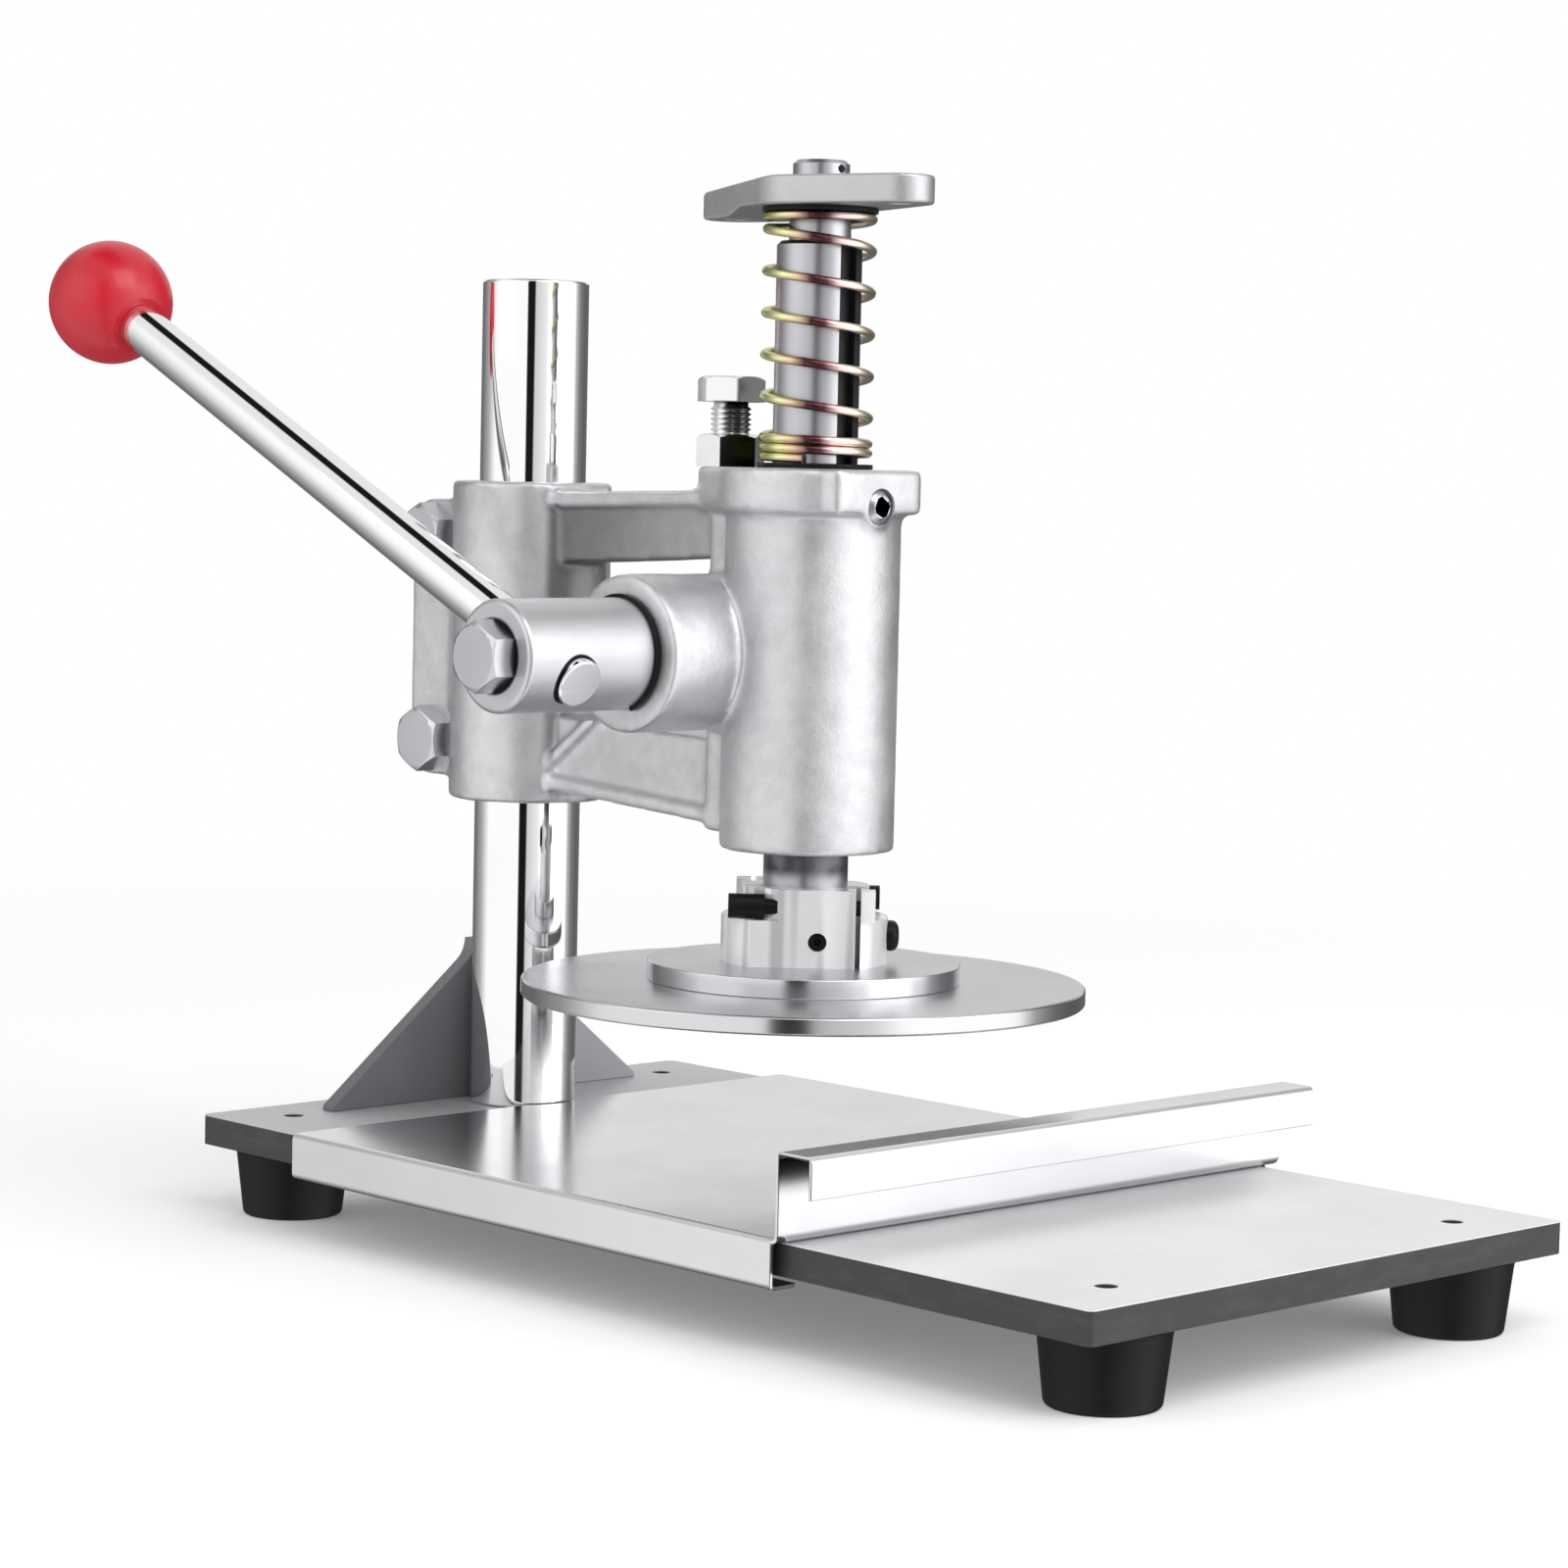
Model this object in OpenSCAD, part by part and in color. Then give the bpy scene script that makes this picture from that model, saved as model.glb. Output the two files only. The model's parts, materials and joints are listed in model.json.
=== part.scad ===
// Hand lever dough press: a rack and pinion head on a column drives a round plate onto a sliding tray.
// The working frame has the ram axis at x = 0 and y = 0, the column behind it at +y, the operator in
// front at -y, the lever on the -x side and the bench at z = 0. Sizes are in millimetres.

/* [Base plate] */
// Width of the base plate
base_w = 258; // [230:1:300]
// From the ram axis to the front edge of the base plate
front_reach = 269; // [240:1:320]
// From the column axis to the rear edge of the base plate
rear_margin = 49; // [44:1:80]
// Thickness of the base plate
base_t = 12; // [10:0.5:16]
// Radius of the base plate's upright corners
base_corner_r = 3; // [1:0.5:8]

/* [Feet] */
// Height of a rubber foot
foot_h = 28; // [24:1:40]
// Diameter of a foot where it meets the base plate
foot_top_d = 47; // [40:1:50]
// Diameter of a foot on the bench
foot_bottom_d = 40; // [30:1:44]
// From the foot's rim to the end of the base plate
foot_end_margin = 1; // [0.5:0.5:12]
// From a rear foot's rim to the side of the base plate
rear_foot_inset = 4.5; // [1:0.5:12]
// Gap between a front foot and the tray's hook that slides past it
foot_hook_gap = 4; // [2:0.5:8]
// Diameter of the screw that holds a foot
foot_screw_d = 8; // [6:1:10]

/* [Column] */
// Diameter of the column
column_d = 44; // [40:1:48]
// From the ram axis to the column axis
column_reach = 168; // [160:1:190]
// Length of bare column above the clamp sleeve
column_rise = 83; // [70:1:110]
// Diameter of the countersunk screw that holds the column
column_screw_d = 16; // [12:1:18]

/* [Rear brace] */
// Thickness of the triangular plate behind the column
brace_t = 7; // [5:0.5:12]
// Width of the brace on the base plate
brace_foot_w = 166; // [140:2:190]
// Height of the brace
brace_h = 67; // [60:1:100]
// Width of the brace at its top
brace_neck_w = 18; // [12:1:24]
// Radius of the hollow flank at the brace's top
brace_hollow_r = 12; // [12:1:26]

/* [Head casting] */
// Length of bare ram between the collar and the ram housing
ram_show = 13.7; // [10:0.1:24]
// Diameter of the ram housing
housing_d = 68; // [60:1:76]
// Height of the ram housing
housing_l = 147.5; // [138:0.5:170]
// Height of the sleeve's lower end above the housing's lower end
sleeve_rise = 7.5; // [4:0.5:12]
// Outside diameter of the sleeve that clamps the column
sleeve_d = 66; // [60:1:72]
// Length of the clamp sleeve
sleeve_l = 132; // [124:1:140]
// Thickness of the pair of clamp ears, measured over both
ear_w = 44; // [36:1:50]
// From the column axis to the rear of the clamp ears
ear_reach = 52; // [50:1:60]
// How far the ears stop short of the sleeve's ends
ear_inset = 8; // [4:0.5:12]
// Width of the slit between the clamp ears
slit_w = 4; // [2:0.5:6]
// Diameter of the clamp bolts and of the stop bolt
bolt_d = 16; // [12:1:16]
// From a clamp bolt to the nearer end of the ears
clamp_bolt_inset = 15.5; // [14:0.5:24]
// Thickness of the flange at the top of the ram housing
head_flange_t = 17; // [12:0.5:20]
// Radius of the flange round the ram
head_flange_r = 39; // [38:0.5:44]
// From the ram axis to the stop bolt
stop_reach = 48; // [47:0.5:52]
// Radius of the flange's lobe round the stop bolt
lobe_r = 12.5; // [11:0.5:16]
// Half the width of the flanges along the two arms
arm_half_w = 16; // [10:0.5:20]
// Half the thickness of the arms' webs
web_half_t = 12; // [3:0.5:14]
// Thickness of the flanges along the two arms
arm_flange_t = 6; // [4:0.5:8]
// Depth of an arm where it meets the sleeve
arm_depth = 30; // [26:0.5:32]

/* [Pinion and lever] */
// Height of the pinion axis above the ram housing's lower end
pinion_lift = 75.5; // [72:0.5:82]
// Number of teeth on the pinion
pinion_teeth = 19; // [17:1:20]
// Module of the rack and pinion
gear_module = 2; // [1.75:0.05:2]
// Play between the teeth of the rack and the pinion
backlash = 0.4; // [0.3:0.05:0.8]
// Width of the pinion's toothed part
gear_w = 26; // [20:1:30]
// Diameter of the pinion shaft and of its lever hub
shaft_d = 43; // [43:0.5:45]
// Outside diameter of the pinion boss on the casting
boss_d = 61; // [58:0.5:63]
// From the ram axis to the boss's face on the lever side
boss_reach = 68.5; // [60:0.5:76]
// From the ram axis to the boss's face on the far side
far_reach = 46; // [42:0.5:56]
// From the ram axis to the lever
lever_x = 107; // [100:0.5:120]
// From the lever to the end of its hub
hub_end = 25; // [20:0.5:32]
// Diameter of the lever rod
rod_d = 19; // [16:0.5:20]
// From the pinion axis to the centre of the ball knob
lever_l = 317; // [260:1:360]
// Rise of the lever towards the rear at rest, in degrees
lever_angle = 25.3; // [15:0.1:40]
// Diameter of the ball knob
ball_d = 52; // [40:1:56]

/* [Ram and press plate] */
// Diameter of the ram
ram_d = 33; // [33:0.5:34]
// Depth of the rack's pitch line below the ram's surface
rack_depth = 2.5; // [2.5:0.1:3]
// Open height between the tray and the press plate at rest
press_gap = 60.5; // [50:0.5:66]
// Least height left under the press plate at the end of its stroke
dough_left = 4.5; // [2:0.5:10]
// Diameter of the press plate
plate_d = 220; // [180:1:230]
// Thickness of the press plate
plate_t = 7; // [6:0.5:10]
// Diameter of the disc that stiffens the press plate
disc_d = 122; // [90:1:150]
// Thickness of that disc
disc_t = 7.5; // [5:0.5:10]
// Diameter of the screws that hold the plate and the disc
plate_screw_d = 6; // [5:0.5:6]
// Diameter of the circle of plate screws
plate_screw_pcd = 47; // [46:0.5:48]
// Thickness of the cap flange on top of the ram
cap_t = 11; // [8:0.5:14]
// Radius of the cap flange round the ram
cap_r = 27; // [24:0.5:32]
// How far the striking face under the cap flange's rear lobe hangs below the flange
cap_drop = 3.5; // [2:0.5:5]
// From the ram axis to the cap flange's front lobe
cap_front_reach = 43.5; // [40:0.5:52]
// Diameter of the hole in each lobe of the cap flange
cap_hole_d = 11; // [8:0.5:13]
// Diameter of the ram's neck through the cap flange
neck_d = 22; // [16:0.5:23]
// Height of that neck above the cap flange
neck_rise = 7; // [7:0.5:12]
// Length of the narrower top of the ram below the cap flange
shoulder_drop = 13; // [8:0.5:20]
// Diameter of that narrower top
shoulder_d = 24; // [22:0.5:25]
// Diameter of the cross pin in that neck
pin_d = 3; // [2.5:0.5:6]

/* [Collar] */
// Height of the collar's lower block
block_h = 18; // [16:0.5:24]
// Diameter of the collar's lower block
block_d = 65; // [62:0.5:72]
// Height of the collar's upper ring
ring_h = 12; // [11:0.5:16]
// Diameter of the collar's upper ring
ring_d = 50; // [48.5:0.5:54]
// Diameter of the collar's clamp screws
collar_screw_d = 6; // [4:0.5:6]

/* [Return spring] */
// Length of the return spring at rest
spring_l = 96; // [90:0.5:120]
// Outside diameter of the return spring
spring_d = 44.2; // [43:0.1:48]
// Diameter of the spring's wire
wire_d = 3.4; // [2.4:0.1:3.8]
// Number of turns in the return spring
spring_turns = 7.25; // [6:0.25:9]
// Gap between the closed turns at each end of the spring
closed_gap = 0.6; // [0.5:0.1:1]
// Thickness of the two spring seats
seat_t = 2; // [1:0.5:3]

/* [Tray] */
// Thickness of the tray's sheet
sheet_t = 1.5; // [1:0.1:2]
// Height of the tray's deck over the base plate
slide_gap = 0.3; // [0.2:0.05:0.5]
// Gap between the tray's sides and the base plate
side_gap = 4; // [1:0.5:5]
// How far the front wall stands out past the tray's sides
wall_over = 1.5; // [0:0.5:6]
// From the ram axis to the tray's front wall
wall_reach = 130; // [118:1:150]
// Height of the tray's front wall above its deck
wall_h = 31.5; // [20:0.5:45]
// Depth of the grip folded forward from the front wall
grip_depth = 16; // [12:0.5:30]
// Height of the grip's lip
lip_h = 15; // [8:0.5:18]
// Width of the hooks under the base plate
hook_w = 11; // [6:0.5:12]
// Gap between those hooks and the base plate's underside
hook_gap = 3; // [0.5:0.5:5]
// From the tray's rear edge to the front of the column
tray_overlap = 3; // [2:0.5:12]

/* [Hidden] */
$fn = 96;
eps = 0.01;
// Radial running clearance of sliding and turning fits
run_gap = 0.05;
// Radial clearance of screws and pins in their holes
screw_gap = 0.1;
// Clearance between faces that pass each other
face_gap = 0.3;
pressure_angle = 20;

// Standard proportions of fasteners with a thread of diameter d
function across_flats(d) = 1.5 * d;
function across_corners(d) = across_flats(d) / cos(30);
function hex_head_h(d) = 0.625 * d;
function nut_h(d) = 0.8 * d;
function washer_d(d) = 1.9 * d;
function socket_head_d(d) = 1.6 * d;

// Heights
base_top = foot_h + base_t;
tray_z = base_top + slide_gap;
tray_top = tray_z + sheet_t;
plate_z = tray_top + press_gap;
disc_z = plate_z + plate_t;
collar_z = disc_z + disc_t;
ring_z = collar_z + block_h;
collar_top = ring_z + ring_h;
housing_z = collar_top + ram_show;
housing_top = housing_z + housing_l;
head_flange_z = housing_top - head_flange_t;
sleeve_z = housing_z + sleeve_rise;
sleeve_top = sleeve_z + sleeve_l;
column_top = sleeve_top + column_rise;
pinion_z = housing_z + pinion_lift;
spring_z = housing_top + seat_t;
spring_top = spring_z + spring_l;
cap_z = spring_top + seat_t;
cap_top = cap_z + cap_t;
neck_top = cap_top + neck_rise;
travel = press_gap - dough_left;

// Base, feet and column
rear_reach = column_reach + rear_margin;
tray_half_w = base_w / 2 + side_gap + sheet_t;
front_foot_x = tray_half_w - sheet_t - hook_w - foot_hook_gap - foot_top_d / 2;
rear_foot_x = base_w / 2 - rear_foot_inset - foot_top_d / 2;
foot_front_y = -front_reach + foot_top_d / 2 + foot_end_margin;
foot_rear_y = rear_reach - foot_top_d / 2 - foot_end_margin;
foot_places = [
    [-front_foot_x, foot_front_y], [front_foot_x, foot_front_y],
    [-rear_foot_x, foot_rear_y], [rear_foot_x, foot_rear_y],
];
foot_edge = 1.5;
foot_recess_depth = foot_h / 2;
foot_washer_t = 1.6;
foot_screw_head_h = 0.65 * foot_screw_d;
foot_screw_short = 3;
foot_washer_z = foot_recess_depth - foot_washer_t;
foot_recess_d = washer_d(foot_screw_d) + 2;
column_chamfer = 1.5;
column_screw_l = 28;
column_screw_head_d = 1.9 * column_screw_d;
column_rear = column_reach + column_d / 2;

// Head casting
ear_z = sleeve_z + ear_inset;
ear_top = sleeve_top - ear_inset;
clamp_bolt_y = column_rear + screw_gap + bolt_d / 2 + 6;
clamp_bolt_zs = [ear_z + clamp_bolt_inset, ear_top - clamp_bolt_inset];
clamp_washer_t = 2.5;
clamp_bolt_spare = 3;
clamp_bolt_l = ear_w + clamp_washer_t + nut_h(bolt_d) + clamp_bolt_spare;
ear_corner_r = 12;
arm_step = 4.5;
arm_fall = 8;
guide_screw_d = 8;
guide_head_d = 13;
guide_head_h = 4.5;
guide_z = housing_top - 14;
guide_seat_y = housing_d / 2 - 1;
pad_half_w = 24;
pad_y = housing_d / 2 + 3;
pad_corner_r = 4.5;
rim_w = 5.5;
rim_y = housing_d / 2 + 3;

// Stop bolt, which the cap flange comes down to
stop_spare = 5;
stop_down = 8;
stop_grip = 13;
stop_top = cap_z - cap_drop - travel - stop_spare;
stop_seat = stop_top - hex_head_h(bolt_d);
stop_bolt_l = stop_seat - housing_top + stop_grip;
stop_hole_z = stop_seat - stop_bolt_l - stop_down - 2;

// Rack and pinion
rack_y = ram_d / 2 - rack_depth;
pitch_r = gear_module * pinion_teeth / 2;
pinion_y = rack_y + pitch_r;
tooth_pitch = PI * gear_module;
tip_r = pitch_r + gear_module;
root_r = pitch_r - 1.25 * gear_module;
base_r = pitch_r * cos(pressure_angle);
rack_tip_y = rack_y + gear_module;
rack_floor_y = rack_y - 1.25 * gear_module;
gaps_below = 3;
gaps_above = ceil(travel / tooth_pitch) + gaps_below;
shaft_r = shaft_d / 2;
tail_r = root_r - 0.5;
gear_half_w = gear_w / 2;
clip_t = 2.2;
clip_depth = 1.6;
clip_rise = 1.5;
clip_gap_angle = 40;
hub_x = lever_x + hub_end;
end_washer_t = 4;
end_screw_d = 10;
end_screw_l = 18;

// Lever
lever_dir = [0, cos(lever_angle), sin(lever_angle)];
rod_proud = 1.5;
knob_flat = 3;
knob_neck = ball_d / 2 - knob_flat;
stud_d = 12;
stud_l = 24;
insert_wall = 3;
insert_l = 26;
ball_y = pinion_y + lever_l * cos(lever_angle);
ball_z = pinion_z + lever_l * sin(lever_angle);

// Ram
key_w = guide_screw_d + 0.4;
key_depth = 4;
key_z = guide_z - guide_screw_d / 2 - face_gap;
shoulder_z = cap_z - shoulder_drop;
shoulder_edge = 1.5;
neck_edge = 1.5;
key_top = shoulder_z + 1;
key_floor_y = ram_d / 2 - key_depth;
pin_z = cap_top + neck_rise / 2;
pin_l = neck_d + 1;

// Collar, turned so that its front faces the operator's left
collar_turn = -44;
ring_cut_x = 15.5;
ring_screw_y = (ram_d / 2 + ring_d / 2) / 2 - 0.1;
ring_screw_head_d = socket_head_d(collar_screw_d);
ring_screw_z = ring_z + ring_screw_head_d / 2 + face_gap;
ring_screw_head_l = 14;
lug_start = 10.5;
lug_end = 27;
ring_screw_l = ring_cut_x + lug_end - 2;
collar_slit = [19.5, 21.5];
block_half_depth = ring_d / 2;
set_screw_d = 7;
set_screw_x = 5;
set_screw_z = collar_z + block_h / 2 + 1;
set_screw_sink = 1.5;
side_screw_d = 6;
side_screw_z = collar_z + block_h / 2 + 1.5;
side_screw_head_d = 2 * side_screw_d;
plate_screw_depth = 12;
plate_screw_head_d = 1.9 * plate_screw_d;

// Spring
spring_r = (spring_d - wire_d) / 2;
wire_r = wire_d / 2;
wire_sides = 6;
curl_rings = 8;
seat_turn = 0.5;
closed_rise = wire_d + closed_gap;
wire_flat = wire_r * cos(180 / wire_sides);
spring_rise = spring_l - 2 * wire_flat;
spring_start = 212;

// Tray
deck_rear = column_reach - column_d / 2 + tray_overlap;
tray_rest_gap = 2;
fold_gap = 5;
wall_half_w = tray_half_w + wall_over;
wall_top = tray_top + wall_h;

// The part's origin is under the middle of its outline
x_low = min(-hub_x - hex_head_h(bolt_d), -wall_half_w);
x_high = max(wall_half_w, base_w / 2);
y_low = min(-front_reach, -wall_reach - grip_depth - sheet_t);
y_high = max(ball_y + ball_d / 2, rear_reach);
origin = [(x_low + x_high) / 2, (y_low + y_high) / 2, 0];

module centred() {
    translate(-origin) children();
}

module along_x() {
    rotate([0, 90, 0]) children();
}

module along_y() {
    rotate([-90, 0, 0]) children();
}

// Turns +x to +z so that an outline drawn in y and z is extruded along x
module side_outline(width) {
    rotate([90, 0, 90]) translate([0, 0, -width / 2]) linear_extrude(width) children();
}

module rounded_rectangle(low, high, r) {
    translate([low[0] + r, low[1]]) square([high[0] - low[0] - 2 * r, high[1] - low[1]]);
    translate([low[0], low[1] + r]) square([high[0] - low[0], high[1] - low[1] - 2 * r]);
    for (x = [low[0] + r, high[0] - r])
        for (y = [low[1] + r, high[1] - r])
            translate([x, y]) circle(r);
}

// A lobe at distance reach along +y, blended into a round core by its two tangent lines
module lobe(core_r, r, reach) {
    slope = asin((core_r - r) / reach);
    n = [cos(slope), sin(slope)];
    translate([0, reach]) circle(r);
    polygon([
        [-core_r * n[0], core_r * n[1]],
        [core_r * n[0], core_r * n[1]],
        [r * n[0], reach + r * n[1]],
        [-r * n[0], reach + r * n[1]],
    ]);
}

// Hexagon prism with its upper corners turned off
module hex_prism(d, h) {
    corner_r = across_corners(d) / 2;
    turned_r = 0.47 * across_flats(d);
    drop = (corner_r - turned_r) * tan(30);
    intersection() {
        cylinder(r = corner_r, h = h, $fn = 6);
        rotate_extrude()
            polygon([[0, 0], [corner_r, 0], [corner_r, h - drop], [turned_r, h], [0, h]]);
    }
}

// Hexagon bolt with its head above z = 0 and its shank below
module hex_bolt(d, shank_l) {
    hex_prism(d, hex_head_h(d));
    translate([0, 0, -shank_l]) cylinder(d = d, h = shank_l + eps);
}

module hex_nut(d) {
    difference() {
        hex_prism(d, nut_h(d));
        translate([0, 0, -1]) cylinder(d = d + 2 * run_gap, h = nut_h(d) + 2);
    }
}

// Cap screw with its head above z = 0 and its shank below
module socket_screw(d, head_d, head_h, shank_l) {
    difference() {
        union() {
            cylinder(d = head_d, h = head_h);
            translate([0, 0, -shank_l]) cylinder(d = d, h = shank_l + eps);
        }
        translate([0, 0, 0.45 * head_h]) cylinder(d = across_corners(d) * 0.55, h = head_h, $fn = 6);
    }
}

// Countersunk screw with its head's flat face at z = 0 and its shank going up
module countersunk(d, head_d, length, gap = 0) {
    rotate_extrude()
        polygon([
            [0, -gap], [head_d / 2 + gap, -gap], [head_d / 2 + gap, 0.5],
            [d / 2 + gap, 0.5 + (head_d - d) / 2], [d / 2 + gap, length + gap], [0, length + gap],
        ]);
}

module ring(outer_d, inner_d, h) {
    difference() {
        cylinder(d = outer_d, h = h);
        translate([0, 0, -1]) cylinder(d = inner_d, h = h + 2);
    }
}

// Base plate with open foot holes and a countersink for the column screw
module base_plate() {
    color("silver")
    difference() {
        translate([0, 0, foot_h]) linear_extrude(base_t)
            rounded_rectangle([-base_w / 2, -front_reach], [base_w / 2, rear_reach], base_corner_r);
        for (p = foot_places)
            translate([p[0], p[1], foot_h - 1]) cylinder(d = foot_screw_d + 2 * screw_gap, h = base_t + 2);
        translate([0, column_reach, foot_h])
            countersunk(column_screw_d, column_screw_head_d, base_t + 1, screw_gap);
    }
}

module foot() {
    bottom_r = foot_bottom_d / 2;
    hole_r = foot_screw_d / 2 + screw_gap;
    recess_r = foot_recess_d / 2;
    color("black")
    rotate_extrude()
        polygon([
            [recess_r, 0], [bottom_r - foot_edge, 0], [bottom_r, foot_edge], [foot_top_d / 2, foot_h],
            [hole_r, foot_h], [hole_r, foot_recess_depth], [recess_r, foot_recess_depth],
        ]);
}

module foot_at(i) {
    translate(foot_places[i]) children();
}

module front_left_foot() {
    foot_at(0) foot();
}

module front_right_foot() {
    foot_at(1) foot();
}

module rear_left_foot() {
    foot_at(2) foot();
}

module rear_right_foot() {
    foot_at(3) foot();
}

module foot_washers() {
    color("gainsboro")
    for (i = [0:3])
        foot_at(i) translate([0, 0, foot_washer_z])
            ring(washer_d(foot_screw_d), foot_screw_d + 2 * screw_gap, foot_washer_t);
}

module foot_screws() {
    shank_l = base_top - foot_screw_short - foot_washer_z;
    color("gray")
    for (i = [0:3])
        foot_at(i) translate([0, 0, foot_washer_z]) rotate([180, 0, 0])
            socket_screw(foot_screw_d, socket_head_d(foot_screw_d), foot_screw_head_h, shank_l);
}

module column() {
    r = column_d / 2;
    length = column_top - base_top;
    hole_r = column_screw_d / 2 + screw_gap;
    hole_l = column_screw_l + 2;
    color("whitesmoke")
    translate([0, column_reach, base_top]) rotate_extrude()
        polygon([
            [hole_r, 0], [r, 0], [r, length - column_chamfer], [r - column_chamfer, length],
            [0, length], [0, hole_l], [hole_r, hole_l],
        ]);
}

module column_screw() {
    color("gray")
    translate([0, column_reach, foot_h])
        countersunk(column_screw_d, column_screw_head_d, base_t + column_screw_l);
}

// Triangular plate behind the column with hollow flanks at its top
module rear_brace() {
    half_w = brace_foot_w / 2;
    toe_h = 2;
    hollow = [brace_neck_w / 2 + brace_hollow_r, brace_h];
    to_toe = [half_w, toe_h] - hollow;
    touch = atan2(to_toe[1], to_toe[0]) + 360 - acos(brace_hollow_r / norm(to_toe));
    steps = 12;
    flank = [for (i = [0:steps])
        let (a = touch + (180 - touch) * i / steps) hollow + brace_hollow_r * [cos(a), sin(a)]];
    right = concat([[half_w, 0], [half_w, toe_h]], flank);
    left = [for (i = [len(right) - 1:-1:0]) [-right[i][0], right[i][1]]];
    color("dimgray")
    translate([0, column_rear + brace_t, base_top]) rotate([90, 0, 0]) linear_extrude(brace_t)
        polygon(concat(right, left));
}

// Web and flange of the arm above the pinion boss
module upper_arm() {
    sleeve_y = column_reach;
    sleeve_edge = sleeve_top - arm_step;
    housing_edge = housing_top - arm_fall;
    side_outline(2 * web_half_t)
        polygon([
            [0, housing_edge], [sleeve_y, sleeve_edge], [sleeve_y, sleeve_edge - arm_depth],
            [0, housing_edge - arm_depth + arm_step],
        ]);
    side_outline(2 * arm_half_w)
        polygon([
            [0, housing_edge], [sleeve_y, sleeve_edge], [sleeve_y, sleeve_edge - arm_flange_t],
            [0, housing_edge - arm_flange_t],
        ]);
    side_outline(2 * arm_half_w)
        translate([0, pinion_z]) square([rim_y + rim_w, housing_edge - pinion_z]);
}

// Web, flange and slanted rib of the arm below the pinion boss
module lower_arm() {
    sleeve_y = column_reach;
    sleeve_edge = sleeve_z + arm_fall;
    housing_edge = housing_z + arm_step;
    front_y = column_reach - sleeve_d / 2;
    side_outline(2 * web_half_t)
        polygon([
            [0, housing_edge], [sleeve_y, sleeve_edge], [sleeve_y, sleeve_edge + arm_depth],
            [0, housing_edge + arm_depth + arm_step],
        ]);
    side_outline(2 * arm_half_w)
        polygon([
            [0, housing_edge], [sleeve_y, sleeve_edge], [sleeve_y, sleeve_edge + arm_flange_t],
            [0, housing_edge + arm_flange_t],
        ]);
    side_outline(2 * arm_half_w)
        polygon([
            [front_y + 12, sleeve_edge], [front_y + 12, sleeve_edge + arm_flange_t],
            [front_y - 20, sleeve_edge + arm_depth - 1], [front_y - 27, sleeve_edge + arm_depth - 1],
        ]);
    side_outline(2 * arm_half_w)
        translate([0, housing_edge]) square([rim_y + rim_w, pinion_z - housing_edge]);
}

module clamp_ears() {
    side_outline(ear_w)
        rounded_rectangle([column_reach, ear_z], [column_reach + ear_reach, ear_top], ear_corner_r);
}

// Round flange with a lobe for the stop bolt and a flat front for the guide screw
module head_flange() {
    translate([0, 0, head_flange_z]) linear_extrude(head_flange_t) {
        intersection() {
            circle(head_flange_r);
            translate([-100, -pad_y]) square(200);
        }
        lobe(head_flange_r, lobe_r, stop_reach);
        rounded_rectangle([-pad_half_w, -pad_y], [pad_half_w, 0], pad_corner_r);
    }
}

// Flat seats milled into the sleeve's flank for the clamp bolts' heads and washers
module clamp_spot_faces() {
    for (z = clamp_bolt_zs)
        translate([ear_w / 2, clamp_bolt_y, z]) along_x()
            cylinder(d = washer_d(bolt_d) + 4 * face_gap, h = sleeve_d);
}

// One casting: clamp sleeve, two arms, pinion boss and ram housing
module head_casting() {
    bore_d = ram_d + 2 * run_gap;
    color("lightgray")
    difference() {
        union() {
            translate([0, column_reach, sleeve_z]) cylinder(d = sleeve_d, h = sleeve_l);
            clamp_ears();
            upper_arm();
            lower_arm();
            translate([0, 0, housing_z]) cylinder(d = housing_d, h = housing_l);
            head_flange();
            translate([-boss_reach, pinion_y, pinion_z]) along_x()
                cylinder(d = boss_d, h = boss_reach + far_reach);
        }
        translate([0, column_reach, sleeve_z - 1]) cylinder(d = column_d + 2 * run_gap, h = sleeve_l + 2);
        translate([-slit_w / 2, column_reach, sleeve_z - 1]) cube([slit_w, ear_reach + 1, sleeve_l + 2]);
        for (z = clamp_bolt_zs)
            translate([-ear_w, clamp_bolt_y, z]) along_x()
                cylinder(d = bolt_d + 2 * screw_gap, h = 2 * ear_w);
        for (s = [0, 1])
            mirror([s, 0, 0]) clamp_spot_faces();
        translate([0, 0, housing_z - 1]) cylinder(d = bore_d, h = housing_l + 2);
        translate([-boss_reach - 1, pinion_y, pinion_z]) along_x()
            cylinder(r = shaft_r + run_gap, h = boss_reach + 1 + gear_half_w + 2);
        translate([0, pinion_y, pinion_z]) along_x() cylinder(r = tail_r + run_gap, h = far_reach + 1);
        translate([0, -pad_y - 1, guide_z]) along_y()
            cylinder(d = guide_screw_d + 2 * screw_gap, h = pad_y);
        translate([0, -pad_y - 1, guide_z]) along_y()
            cylinder(d = guide_head_d + 4 * face_gap, h = pad_y + 1 - guide_seat_y);
        translate([0, stop_reach, stop_hole_z])
            cylinder(d = bolt_d + 2 * run_gap, h = housing_top - stop_hole_z + 1);
    }
}

module clamp_bolts() {
    color("silver")
    for (z = clamp_bolt_zs)
        translate([-ear_w / 2, clamp_bolt_y, z]) rotate([0, -90, 0]) hex_bolt(bolt_d, clamp_bolt_l);
}

module clamp_washers() {
    color("gainsboro")
    for (z = clamp_bolt_zs)
        translate([ear_w / 2, clamp_bolt_y, z]) along_x()
            ring(washer_d(bolt_d), bolt_d + 2 * screw_gap, clamp_washer_t);
}

module clamp_nuts() {
    color("silver")
    for (z = clamp_bolt_zs)
        translate([ear_w / 2 + clamp_washer_t, clamp_bolt_y, z]) along_x() hex_nut(bolt_d);
}

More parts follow.
